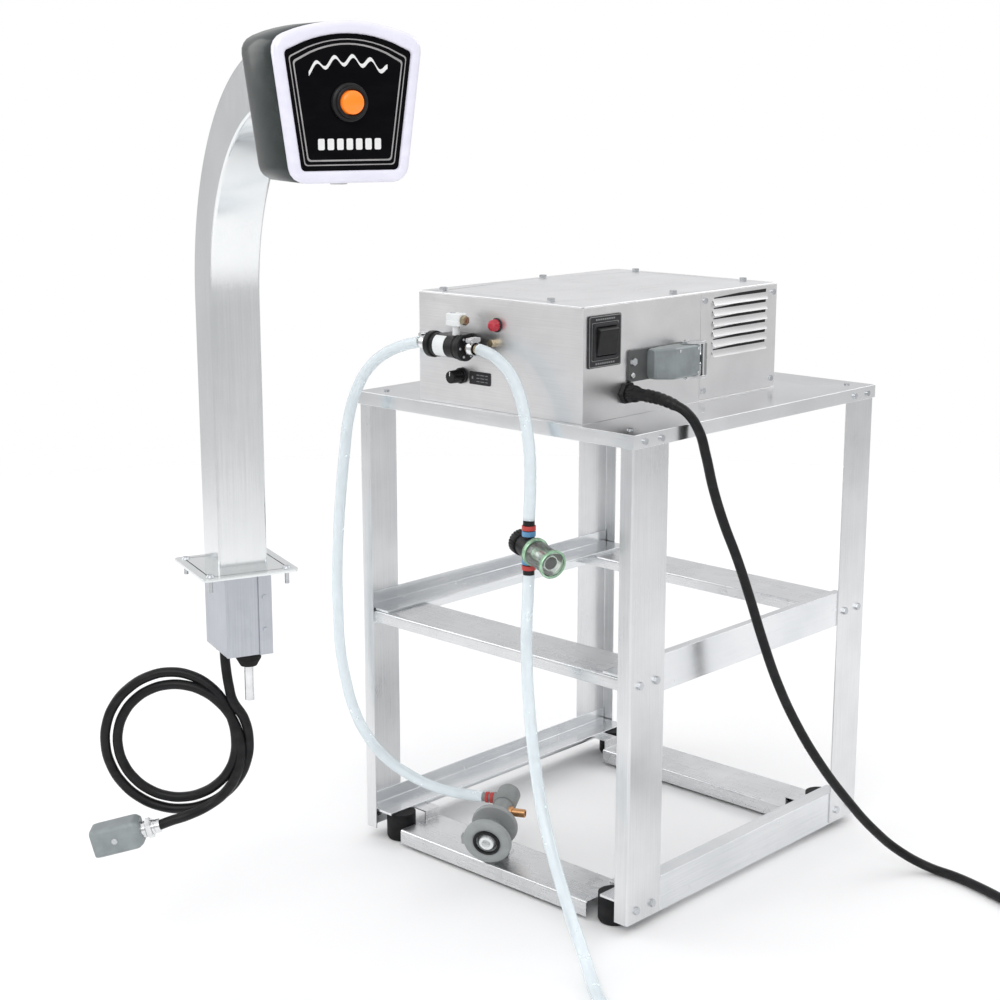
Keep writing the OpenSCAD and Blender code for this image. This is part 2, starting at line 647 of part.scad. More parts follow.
module strainer_head() color(BLACK) {
    at_strainer() difference() {
        union() {
            translate([0, 0, -22]) cylinder(d = 28, h = 12, $fn = 48);
            translate([0, 0, -11]) cylinder(d = 24, h = 22);
        }
        for (k = [0 : 17]) rotate([0, 0, k * 20]) translate([14.4, 0, -23]) cylinder(d = 2.4, h = 12);
        translate([0, 0, 4]) cylinder(d = 20, h = 20);
    }
    translate(strainer_at - [0, 0, port_reach]) difference() {
        cylinder(d = hose_d, h = 2 * port_reach);
        translate([0, 0, port_reach - 12]) cylinder(d = hose_d + 1, h = 24);
    }
}

module strainer_bowl() color("#d8ecd8") at_strainer() translate([0, 0, 11]) difference() {
    union() {
        cylinder(d = bowl_d, h = 5);
        cylinder(d = bowl_d - 4, h = bowl_len);
        translate([0, 0, bowl_len - 5]) cylinder(d = bowl_d, h = 4);
    }
    translate([0, 0, -1]) cylinder(d = bowl_d - 4 - 2 * bowl_wall, h = bowl_len - bowl_wall + 1);
}

module strainer_screen() color("#c4c8ca") at_strainer() translate([0, 0, 4]) difference() {
    cylinder(d = 17, h = bowl_len);
    translate([0, 0, -1]) cylinder(d = 15.5, h = bowl_len + 2);
}

module clamp_ring(d, h) difference() {
    cylinder(d = d + 2.4, h = h, center = true);
    cylinder(d = d + 0.4, h = h + 1, center = true);
}

module pinch_clamps() color("#b5322c") {
    for (s = [-1, 1]) translate(strainer_at + [0, 0, s * (port_reach - 8)]) clamp_ring(hose_d, 5);
    at_connector() for (x = [-24, -18]) translate([x, 0, -elbow_back]) rotate([0, 90, 0]) clamp_ring(hose_d - 2, 4);
}

inlet_route = [
    [-127.5, 3, 632.5], [-150, 1, 627], [-178, -4, 615], [-202, -8, 596], [-220, -10, 570], [-233, -12, 535],
    [-241, -12, 495], [-249, -12, 445], [-256, -11, 395], [-261, -10, 345], [-262, -9, 295],
    [-261, -8, 250], [-254, -6, 208], [-243, -2, 168], [-228, 6, 136], [-209, 17, 111],
    [-185, 32, 92], [-164, 48, 79], [-137, 62, 73], [-101.7, 77, 72.3]];
outlet_upper_route = [
    [-35.5, 3, 632.5], [-18, 3, 629], [3, 2, 619], [20, 1, 603], [33, -1, 580], [43, -4, 552],
    [50, -7, 522], [54, -11, 490], [55, -14, 458]];
outlet_lower_route = [
    [55, -14, 398], [54, -14, 370], [54, -16, 340], [57, -19, 305], [63, -23, 268], [73, -29, 230],
    [86, -36, 190], [103, -44, 150], [124, -52, 111], [148, -60, 74], [172, -68, 42],
    [198, -80, 18], [228, -102, 7], [258, -126, 6.6], [281, -154, 6.6], [295, -188, 6.6],
    [300, -224, 6.6], [300.5, -268, 6.6]];

module inlet_hose() color("#e4edf2") swept(inlet_route, hose_d, [0.1, 1, 0.05]);
module outlet_hose_upper() color("#e4edf2") swept(outlet_upper_route, hose_d, [0.1, 1, 0.05]);
module outlet_hose_lower() color("#e4edf2") swept(outlet_lower_route, hose_d, [0.65, 0.76, 0]);

// Coils: closed rings of the outer shape that the turns fill
hose_coil_at = [402, -278];
hose_coil_r = 95;

module coil_ring(r, d, across, high) rotate_extrude()
    translate([r - across * d / 2, 0]) square([across * d, high * d]);

module outlet_hose_coil() color("#e4edf2") translate([hose_coil_at[0], hose_coil_at[1], 0]) coil_ring(hose_coil_r, hose_d, 2, 2);

module outlet_hose_fitting() color("#b08d4a") translate([hose_coil_at[0] + hose_coil_r + 1.5 * hose_d, hose_coil_at[1] + 20, hose_d / 2]) {
    bar_y(hose_d - 3, 12);
    translate([0, 12 - EPS, 0]) rotate([-90, 0, 0]) cylinder(d = 20, h = 14, $fn = 6);
}

// ---- Power cord ----

cord_d = 11;
cord_route = [
    [124, 98.5, 588], [142, 98.8, 586.5], [159, 101, 582], [173, 106, 574], [184, 113, 555], [188, 121, 528],
    [190, 133, 490], [195, 147, 450],
    [202, 164, 408], [209, 180, 362], [217, 196, 311], [226, 215, 258], [237, 240, 205], [250, 272, 152],
    [265, 308, 102], [281, 344, 58], [300, 378, 24], [326, 396, 8], [362, 398, 5.6], [400, 390, 5.6],
    [440, 378, 5.6], [478, 368, 5.6]];
cord_coil_at = [530, 426];
cord_coil_r = 62;

module power_cord() color(BLACK) swept(cord_route, cord_d, [0.84, -0.54, 0]);
module power_cord_coil() color(BLACK) translate([cord_coil_at[0], cord_coil_at[1], 0]) coil_ring(cord_coil_r, cord_d, 2, 2);

module power_plug() color(BLACK) translate([cord_coil_at[0] + cord_coil_r + 1.5 * cord_d, cord_coil_at[1] + 20, 0]) {
    translate([-13, 14, 0]) cube([26, 26, 24]);
    translate([0, 0, cord_d / 2 + 1]) bar_y(cord_d, 15);
    for (x = [-6.35, 6.35]) translate([x - 0.75, 40 - EPS, 9]) cube([1.5, 18, 6.3]);
    translate([0, 40 - EPS, 19]) bar_y(4.8, 20);
}

// ---- Tower ----

service_w = 46;
service_d = 68;
service_h = 86;
feed_at = [6, -13];
cable_exit = [-8, 22];
stub_bottom = -142;
stub_len = 34;
line_d = feed_d - 0.5;                       // the feed line above its tail
seat_in = 0.3;                               // the flange's underside is let in over the service box

module flange_holes(d) for (sx = [-1, 1], sy = [-1, 1])
    translate([sx * flange_pitch / 2, sy * flange_pitch / 2, -flange_t - 1]) cylinder(d = d, h = flange_t + 2);

module tower_flange() color(POLISHED) at_tower() difference() {
    translate([0, 0, -flange_t]) linear_extrude(flange_t) soft_square(flange_w, flange_w, 6);
    flange_holes(flange_hole_d);
    translate([0, 0, -flange_t - 1]) slab(tube_w - 8, tube_w - 8, flange_t + 2);
    translate([1, 0, -flange_t - 1]) slab(service_w + 6, service_d + 8, 1 + seat_in);
}

module tube_section() difference() {
    soft_square(tube_w, tube_w, 3);
    soft_square(tube_w - 2 * tube_wall, tube_w - 2 * tube_wall, 1.4);
}

head_back = -tube_bend_r - 26;               // the head's rear face
tube_z = tube_rise + tube_bend_r;            // height of the tube's level stretch

module tower_tube() color(POLISHED) at_tower() {
    linear_extrude(tube_rise) tube_section();
    translate([0, -tube_bend_r, tube_rise]) rotate([90, 0, 90])
        rotate_extrude(angle = 90, $fn = 96) translate([tube_bend_r, 0]) tube_section();
    translate([0, -tube_bend_r, tube_z]) rotate([90, 0, 0]) linear_extrude(40) tube_section();
}

module flange_screws() color("#a9adb0") at_tower() for (sx = [-1, 1], sy = [-1, 1])
    translate([sx * flange_pitch / 2, sy * flange_pitch / 2, 0]) {
        cylinder(d1 = 9, d2 = 6, h = 2.2);
        translate([0, 0, -flange_t]) cylinder(d = flange_hole_d - 2 * RUN, h = flange_t + EPS, $fn = 8);
        translate([0, 0, -16]) cylinder(d = flange_hole_d - 0.4, h = 16 - flange_t + EPS);
    }

module service_box() color(GREY) at_tower() translate([0, 0, -flange_t - service_h]) difference() {
    slab(service_w, service_d, service_h + seat_in);
    // hollow, open to the right side, where the cover goes
    translate([sheet_t, 0, sheet_t]) slab(service_w, service_d - 2 * sheet_t, service_h - 2 * sheet_t);
    translate([0, 0, service_h - 10]) slab(tube_w - 16, tube_w - 8, 20);
    translate([feed_at[0], feed_at[1], -1]) cylinder(d = feed_d + 10, h = 6);
    translate([cable_exit[0], cable_exit[1], -1]) cylinder(d = 16, h = 6);
}

module service_cover() color("#b2b6ba") at_tower() translate([service_w / 2, 0, -flange_t - service_h]) {
    translate([FIT, -service_d / 2 - FIT - sheet_t, 0]) cube([sheet_t, service_d + 2 * (FIT + sheet_t), service_h - FIT]);
    for (s = [0, 1]) mirror([0, s, 0]) translate([-12, -service_d / 2 - FIT - sheet_t, 0])
        cube([12 + FIT + EPS, sheet_t, service_h - FIT]);
    for (z = [26, 60]) translate([-6, -service_d / 2 - FIT - sheet_t, z]) rotate([90, 0, 0]) cylinder(d = 5, h = 1.5);
}

module base_grommets() color(BLACK) at_tower() translate([0, 0, -flange_t - service_h]) {
    translate([feed_at[0], feed_at[1], 0]) difference() {
        union() {
            translate([0, 0, -8]) cylinder(d = 26, h = 8);
            translate([0, 0, -16]) cylinder(d1 = 17, d2 = 26, h = 8 + EPS);
            cylinder(d = feed_d + 9, h = 4);
        }
        translate([0, 0, -20]) cylinder(d = line_d + 2 * RUN, h = 30);
    }
    translate([cable_exit[0], cable_exit[1], 0]) {
        translate([0, 0, -6]) cylinder(d = 18, h = 6);
        cylinder(d = 15, h = 4);
    }
}

spout_y = head_back - head_d / 2;
spout_r = 30;                                // bend of the feed line down into the spout

module feed_line() color(STEEL) at_tower() translate([feed_at[0], 0, 0]) {
    bend = tube_bend_r + feed_at[1];
    level = tube_rise + bend;
    translate([0, feed_at[1], stub_bottom]) cylinder(d = feed_d, h = stub_len);
    translate([0, feed_at[1], stub_bottom + stub_len - EPS]) cylinder(d = line_d, h = tube_rise - stub_bottom - stub_len + EPS);
    translate([0, -tube_bend_r, tube_rise]) rotate([90, 0, 90])
        rotate_extrude(angle = 90, $fn = 96) translate([bend, 0]) circle(d = line_d, $fn = 24);
    translate([0, -tube_bend_r, level]) rotate([90, 0, 0]) cylinder(d = line_d, h = -tube_bend_r - spout_y - spout_r);
    translate([0, spout_y + spout_r, level - spout_r]) rotate([90, 0, 90]) rotate([0, 0, 90])
        rotate_extrude(angle = 90, $fn = 48) translate([spout_r, 0]) circle(d = line_d, $fn = 24);
    translate([0, spout_y, level - spout_r - 10]) cylinder(d = line_d, h = 10);
}

head_z = tube_z - 24;                        // height of the head's middle
taper = 15;                                  // how much narrower each side is at the bottom
arch = 14;                                   // rise of the arched top

// The head's outline, seen from the front, shrunk by inset on every side
function head_outline(inset) =
    let (w = head_w / 2 - inset, top = head_h / 2 - inset, low = -head_h / 2 + inset, t = taper * (1 - 2 * inset / head_h))
    rounded(concat([[-w + t, low], [w - t, low]],
                   [for (k = [0 : 6]) let (x = w * (1 - k / 3)) [x, top - arch * pow(x / w, 2)]]), max(14 - inset, 3));

// Stands the outline up with its front at y
module head_slice(y, inset, depth) translate([0, y, head_z]) rotate([90, 0, 0]) linear_extrude(depth)
    polygon(head_outline(inset));

face_y = head_back - head_d;
bezel_t = 9;

module head_shell() color("#2c3a3a") at_tower() difference() {
    head_slice(head_back, 0, head_d - bezel_t);
    head_slice(head_back - head_wall, head_wall, head_d);
    translate([-tube_w / 2 - FIT, head_back - 5, tube_z - tube_w / 2 - FIT]) cube([tube_w + 2 * FIT, 10, tube_w + 2 * FIT]);
    translate([feed_at[0], spout_y, head_z - head_h / 2 - 1]) cylinder(d = feed_d + 7, h = 10);
}

module head_bezel() color("#e6e4f2") at_tower() difference() {
    head_slice(face_y + bezel_t, 0, bezel_t);
    head_slice(face_y + bezel_t + 1, bezel_w, bezel_t + 2);
}

module face_plate() color("#0e0e10") at_tower() difference() {
    head_slice(face_y + bezel_t, bezel_w + FIT, bezel_t - 3);
    head_slice(face_y + bezel_t + 1, bezel_w + 3, bezel_t - 6.5);
    translate([0, face_y - 5, head_z]) bar_y(button_d + 2 * RUN + 3, 20);
}

module button_guard() color(BLACK) at_tower() translate([0, face_y + 3, head_z]) rotate([90, 0, 0]) difference() {
    union() {
        cylinder(d = guard_d, h = 4);
        cylinder(d = guard_d - 5, h = 7);
        translate([0, 0, -12]) cylinder(d = button_d + 3, h = 12 + EPS);
    }
    translate([0, 0, -13]) cylinder(d = button_d + 2 * RUN, h = 30);
}

module dispense_button() color("#f08a1c") at_tower() translate([0, face_y + 3, head_z]) rotate([90, 0, 0]) {
    translate([0, 0, -8]) cylinder(d = button_d, h = 18);
    translate([0, 0, 10]) cylinder(d1 = button_d, d2 = button_d - 3, h = 1.5);
    translate([0, 0, -14]) cylinder(d = 5, h = 7);
}

module button_switch() color("#3a3a3d") at_tower() {
    reach = face_y + 3 + 14 + button_travel + FIT;
    translate([-14, reach, head_z - 10]) cube([28, 14, 20]);
    // bracket from the switch to the shell's floor
    translate([-10, reach + 12, head_z - head_h / 2 + head_wall]) cube([20, 2, head_h / 2 - head_wall - 5]);
}

module spout() color(STEEL) at_tower() translate([feed_at[0], spout_y, head_z - head_h / 2 - 3]) difference() {
    cylinder(d = feed_d + 5, h = tube_z + feed_at[1] - spout_r - 10 - head_z + head_h / 2 + 3);
    translate([0, 0, -1]) cylinder(d = feed_d - 3, h = 200);
}

// ---- Tower cable, hung as one coil of two turns that ends in a plug ----

cable_d = 10.5;
hank_at = [-139.1, -344.6, 247];
hank_turn = 43;
hank_r = 68.5;
hank_wide = 24;
plug_at = [-134, -377, 164];

cable_top_route = [
    [-106.4, -304, 346], [-106.2, -304, 336], [-104, -304.4, 322], [-100.5, -304.6, 307], [-95, -304.6, 292]];
cable_end_route = [[-116, -354, 173], [-125, -366, 169], plug_at];

module tower_cable() color(BLACK) {
    swept(cable_top_route, cable_d, [0.7, 0.7, 0.1]);
    swept(cable_end_route, cable_d, [0, 0, 1]);
}

module tower_cable_coil() color(BLACK) translate(hank_at) rotate([0, 0, hank_turn]) rotate([90, 0, 0])
    rotate_extrude() translate([hank_r - hank_wide / 2, -cable_d]) square([hank_wide, 2 * cable_d]);

module cable_plug() color(GREY) translate(plug_at) rotate([0, 14, 225]) {
    bar_x(13, 6);
    translate([5, 0, 0]) rotate([0, 90, 0]) cylinder(d = 20, h = 12, $fn = 6);
    translate([16, -15, -15]) cube([52, 30, 30]);
}

posts();
side_rails();
cross_ties();
top_panel();
rubber_feet();
rack_bolts();
case_chassis();
case_lid();
vent_panel();
case_screws();
rocker_frame();
power_rocker();
signal_lamp();
control_knob();
label_plate();
cord_gland();
socket_housing();
locking_lever();
pump_housing();
drive_gear();
idler_gear();
pressure_valve();
hose_barbs();
worm_clamps();
drive_motor();
fan_frame();
fan_rotor();
control_board();
connector_cradle();
bag_connector_body();
bag_connector_collar();
inlet_hose();
outlet_hose_upper();
strainer_head();
strainer_bowl();
strainer_screen();
pinch_clamps();
outlet_hose_lower();
outlet_hose_coil();
outlet_hose_fitting();
power_cord();
power_cord_coil();
power_plug();
tower_flange();
tower_tube();
flange_screws();
service_box();
service_cover();
base_grommets();
feed_line();
spout();
head_shell();
head_bezel();
face_plate();
button_guard();
dispense_button();
button_switch();
tower_cable();
tower_cable_coil();
cable_plug();
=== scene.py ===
"""Looks of the topping dispenser: a pump unit on an open rack and a countertop tower.

Every size is in metres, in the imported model's frame: +Z up, the rack's front towards -Y.
"""

import json
import logging
import math
from dataclasses import dataclass
from enum import Enum
from typing import Any, Sequence

import bpy
from mathutils import Euler, Matrix, Vector


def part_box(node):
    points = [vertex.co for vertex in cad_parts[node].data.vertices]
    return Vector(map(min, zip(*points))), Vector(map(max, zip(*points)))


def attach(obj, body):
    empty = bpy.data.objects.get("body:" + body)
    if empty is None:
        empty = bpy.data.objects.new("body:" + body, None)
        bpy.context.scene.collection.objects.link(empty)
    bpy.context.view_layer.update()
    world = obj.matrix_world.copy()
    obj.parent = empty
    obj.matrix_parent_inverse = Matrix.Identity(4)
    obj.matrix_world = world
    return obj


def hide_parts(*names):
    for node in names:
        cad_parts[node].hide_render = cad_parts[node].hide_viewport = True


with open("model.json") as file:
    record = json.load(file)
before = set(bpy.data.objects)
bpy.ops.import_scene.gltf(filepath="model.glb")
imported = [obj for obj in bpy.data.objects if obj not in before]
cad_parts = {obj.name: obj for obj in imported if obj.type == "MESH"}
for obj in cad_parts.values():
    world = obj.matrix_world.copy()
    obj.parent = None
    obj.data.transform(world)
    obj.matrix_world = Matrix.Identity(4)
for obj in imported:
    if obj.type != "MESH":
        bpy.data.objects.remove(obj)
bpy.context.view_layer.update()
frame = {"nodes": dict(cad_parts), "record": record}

LOG = logging.getLogger("dispenser")
Point = Sequence[float]
Colour = tuple[float, float, float]
MM = 0.001
TAU = 2 * math.pi
SHARP_DEG = 32
SHEET_SHARP_DEG = 35.0
WELD_GAP = 0.00001


# ---- Shader maths ----


class Sock:
    """A shader socket that arithmetic works on: each operator adds its Math node."""

    def __init__(self, painter: "Painter", link: Any) -> None:
        """Wraps link, an output socket of painter's material."""
        self.painter, self.link = painter, link

    def _math(self, operation: str, first: Any, second: Any = None, clamp: bool = False) -> "Sock":
        """Adds a Math node.

        Args:
            operation: The Math node's operation.
            first: The first value, a Sock or a number.
            second: The second value, if the operation has one.
            clamp: Whether the result stays from 0 to 1.

        Returns:
            The node's result.
        """
        values = {0: first} if second is None else {0: first, 1: second}
        return self.painter.node("ShaderNodeMath", {"operation": operation, "use_clamp": clamp}, values)

    def __add__(self, other: Any) -> "Sock":
        """self + other."""
        return self._math("ADD", self, other)

    def __radd__(self, other: Any) -> "Sock":
        """other + self."""
        return self._math("ADD", other, self)

    def __sub__(self, other: Any) -> "Sock":
        """self - other."""
        return self._math("SUBTRACT", self, other)

    def __rsub__(self, other: Any) -> "Sock":
        """other - self."""
        return self._math("SUBTRACT", other, self)

    def __mul__(self, other: Any) -> "Sock":
        """self * other."""
        return self._math("MULTIPLY", self, other)

    def __rmul__(self, other: Any) -> "Sock":
        """other * self."""
        return self._math("MULTIPLY", other, self)

    def __truediv__(self, other: Any) -> "Sock":
        """self / other."""
        return self._math("DIVIDE", self, other)

    def __pow__(self, other: Any) -> "Sock":
        """self ** other."""
        return self._math("POWER", self, other)

    def __gt__(self, other: Any) -> "Sock":
        """1 where self is greater than other, else 0."""
        return self._math("GREATER_THAN", self, other)

    def clamped(self) -> "Sock":
        """The value held between 0 and 1."""
        return self._math("ADD", self, 0.0, clamp=True)

    def sine(self) -> "Sock":
        """The sine of the value, in radians."""
        return self._math("SINE", self)

    def between(self, low: float, high: float) -> "Sock":
        """Runs smoothly from 0 at low to 1 at high."""
        inputs = {0: self, 1: low, 2: high, 3: 0.0, 4: 1.0}
        return self.painter.node("ShaderNodeMapRange", {"interpolation_type": "SMOOTHSTEP"}, inputs)


class Painter:
    """Builds one node material around a Principled shader."""

    def __init__(self, name: str) -> None:
        """Starts the material.

        Args:
            name: The material's name.
        """
        self.material = bpy.data.materials.new(name)
        self.material.use_nodes = True
        self.tree = self.material.node_tree
        self.tree.nodes.clear()
        self.out = self.tree.nodes.new("ShaderNodeOutputMaterial")
        self.shader = self.tree.nodes.new("ShaderNodeBsdfPrincipled")
        self.tree.links.new(self.shader.outputs[0], self.out.inputs["Surface"])

    def node(self, kind: str, settings: dict | None = None, inputs: dict | None = None, out: Any = 0) -> Sock:
        """Adds a node.

        Args:
            kind: The node's type.
            settings: Its properties, and "stops" for a ramp: a list of (place, colour).
            inputs: Values or Socks for its input sockets, by name or index.
            out: The output wanted, by name or index.

        Returns:
            That output as a Sock.
        """
        node = self.tree.nodes.new(kind)
        for key, value in (settings or {}).items():
            if key == "stops":
                ramp = node.color_ramp
                while len(ramp.elements) < len(value):
                    ramp.elements.new(1.0)
                for element, (place, colour) in zip(ramp.elements, value):
                    element.position, element.color = place, (*colour, 1.0)
            else:
                setattr(node, key, value)
        for key, value in (inputs or {}).items():
            self.feed(node.inputs[key], value)
        return Sock(self, node.outputs[out])

    def feed(self, socket: Any, value: Any) -> None:
        """Links a Sock to a socket, or sets the socket to a plain value.

        Args:
            socket: The input socket.
            value: A Sock, a number, or a tuple such as a colour.
        """
        if isinstance(value, Sock):
            self.tree.links.new(value.link, socket)
        elif isinstance(value, tuple) and len(value) == 3 and socket.type == "RGBA":
            socket.default_value = (*value, 1.0)
        else:
            socket.default_value = value

    def set(self, **values: Any) -> None:
        """Feeds the Principled shader's sockets; an underscore in a name stands for a space."""
        for key, value in values.items():
            self.feed(self.shader.inputs[key.replace("_", " ")], value)

    def place(self, scale: Point = (1.0, 1.0, 1.0), turn: Point = (0.0, 0.0, 0.0)) -> Sock:
        """The point on the piece, turned and then scaled on each axis.

        Args:
            scale: The scale on each axis.
            turn: The turn about each axis, in radians.

        Returns:
            The point, in metres where the scale is 1.
        """
        spot = self.node("ShaderNodeTexCoord", out="Object")
        if any(turn):
            spot = self.node("ShaderNodeMapping", {}, {"Vector": spot, "Rotation": tuple(turn)})
        return self.node("ShaderNodeMapping", {}, {"Vector": spot, "Scale": tuple(scale)})

    def noise(self, at: Sock, scale: float, detail: float = 3.0, rough: float = 0.5) -> Sock:
        """Smooth noise from 0 to 1."""
        inputs = {"Vector": at, "Scale": scale, "Detail": detail, "Roughness": rough}
        return self.node("ShaderNodeTexNoise", {}, inputs)

    def mix(self, share: Any, first: Any, second: Any, blend: str = "MIX") -> Sock:
        """Mixes two colours."""
        settings = {"data_type": "RGBA", "blend_type": blend}
        return self.node("ShaderNodeMix", settings, {0: share, 6: first, 7: second}, out=2)

    def bump(self, height: Sock, strength: float, distance: float) -> None:
        """Feeds the shader's normal from a height."""
        inputs = {"Strength": strength, "Distance": distance, "Height": height}
        self.set(Normal=self.node("ShaderNodeBump", {}, inputs))


# ---- Finishes ----


@dataclass(frozen=True)
class Sheet:
    """Bare sheet metal with a brushed grain, clouding and handling marks."""

    name: str
    colour: Colour = (0.72, 0.73, 0.74)
    shade: Colour = (0.56, 0.575, 0.59)
    roughness: float = 0.30
    spread: float = 0.12
    grain: Point = (3.0, 240.0, 240.0)
    turn: Point = (0.0, 0.0, 0.0)
    depth: float = 0.00006
    spangle: float = 0.0

    def make(self) -> bpy.types.Material:
        """Builds the material.

        Returns:
            The material.
        """
        p = Painter(self.name)
        streak = p.noise(p.place(self.grain, self.turn), 4.0, 4.0, 0.6)
        cloud = p.noise(p.place(), 11.0, 3.0, 0.55)
        marks = p.noise(p.place(), 70.0, 5.0, 0.7).between(0.60, 0.74)
        tone = (0.55 * cloud + 0.45 * streak).between(0.3, 0.72)
        worn = self.roughness + self.spread * (cloud - 0.5) + 0.10 * (streak - 0.5) + 0.10 * marks
        if self.spangle:
            seed = {"Vector": p.place(), "Scale": 75.0}
            cells = p.node("ShaderNodeTexVoronoi", {"feature": "F1"}, seed, out="Color")
            grey = p.node("ShaderNodeRGBToBW", {}, {"Color": cells})
            tone = (tone + self.spangle * (grey - 0.5)).clamped()
            worn = worn + 0.25 * self.spangle * (grey - 0.5)
        p.set(Base_Color=p.mix(tone, self.shade, self.colour), Metallic=1.0, Roughness=worn.clamped())
        p.bump(streak, 0.35, self.depth)
        return p.material


@dataclass(frozen=True)
class Cast:
    """Painted or bare casting, turned metal and fittings, with a fine pebble."""

    name: str
    colour: Colour
    metallic: float = 1.0
    roughness: float = 0.35
    pebble: float = 900.0
    depth: float = 0.00004
    wear: Colour | None = None

    def make(self) -> bpy.types.Material:
        """Builds the material.

        Returns:
            The material.
        """
        p = Painter(self.name)
        fine = p.noise(p.place(), self.pebble, 3.0, 0.6)
        cloud = p.noise(p.place(), 45.0, 4.0, 0.6)
        dark = tuple(0.78 * c for c in self.colour)
        paint = p.mix(cloud.between(0.3, 0.7), dark, self.colour)
        if self.wear:
            paint = p.mix(p.noise(p.place(), 210.0, 5.0, 0.75).between(0.62, 0.70), paint, self.wear)
        p.set(
            Base_Color=paint,
            Metallic=self.metallic,
            Roughness=(self.roughness + 0.22 * (cloud - 0.5) + 0.08 * (fine - 0.5)).clamped(),
        )
        p.bump(fine, 0.4, self.depth)
        return p.material


@dataclass(frozen=True)
class Moulded:
    """Moulded plastic or rubber: a fine texture, faint flow marks and dust."""

    name: str
    colour: Colour
    roughness: float = 0.42
    texture: float = 1400.0
    depth: float = 0.00003
    coat: float = 0.0
    dust: float = 0.05
    glow: float = 0.0
    shine: float = 0.45

    def make(self) -> bpy.types.Material:
        """Builds the material.

        Returns:
            The material.
        """
        p = Painter(self.name)
        fine = p.noise(p.place(), self.texture, 2.0, 0.6)
        flow = p.noise(p.place((1.0, 1.0, 2.5)), 38.0, 4.0, 0.6)
        dusty = tuple(min(1.0, c + self.dust) for c in self.colour)
        paint = p.mix(flow.between(0.35, 0.8), self.colour, dusty)
        p.set(
            Base_Color=paint,
            Roughness=(self.roughness + 0.16 * (flow - 0.5) + 0.06 * (fine - 0.5)).clamped(),
            Coat_Weight=self.coat,
            Coat_Roughness=0.06,
            Specular_IOR_Level=self.shine,
        )
        if self.glow:
            p.set(Emission_Color=paint, Emission_Strength=self.glow)
        p.bump(fine, 0.35, self.depth)
        return p.material


@dataclass(frozen=True)
class Clear:
    """Clear or milky plastic, with faint haze."""

    name: str
    colour: Colour
    through: float = 0.9
    roughness: float = 0.08
    ior: float = 1.45
    haze: float = 0.08
    glow: float = 0.0

    def make(self) -> bpy.types.Material:
        """Builds the material.

        Returns:
            The material.
        """
        p = Painter(self.name)
        cloud = p.noise(p.place(), 60.0, 3.0, 0.6)
        pale = tuple(min(1.0, c + 0.05) for c in self.colour)
        paint = p.mix(cloud.between(0.3, 0.7), self.colour, pale)
        p.set(
            Base_Color=paint,
            Roughness=(self.roughness + self.haze * cloud).clamped(),
            Transmission_Weight=self.through,
            IOR=self.ior,
        )
        # glow is emission: lamp light on the lamp lens, painted light on the milky hose
        if self.glow:
            p.set(Emission_Color=paint, Emission_Strength=self.glow)
        p.bump(p.noise(p.place(), 320.0, 2.0), 0.15, 0.00004)
        return p.material


UPRIGHT = (240.0, 240.0, 3.0)
ALONG_Y = (240.0, 3.0, 240.0)
ALONG_X = (3.0, 240.0, 240.0)


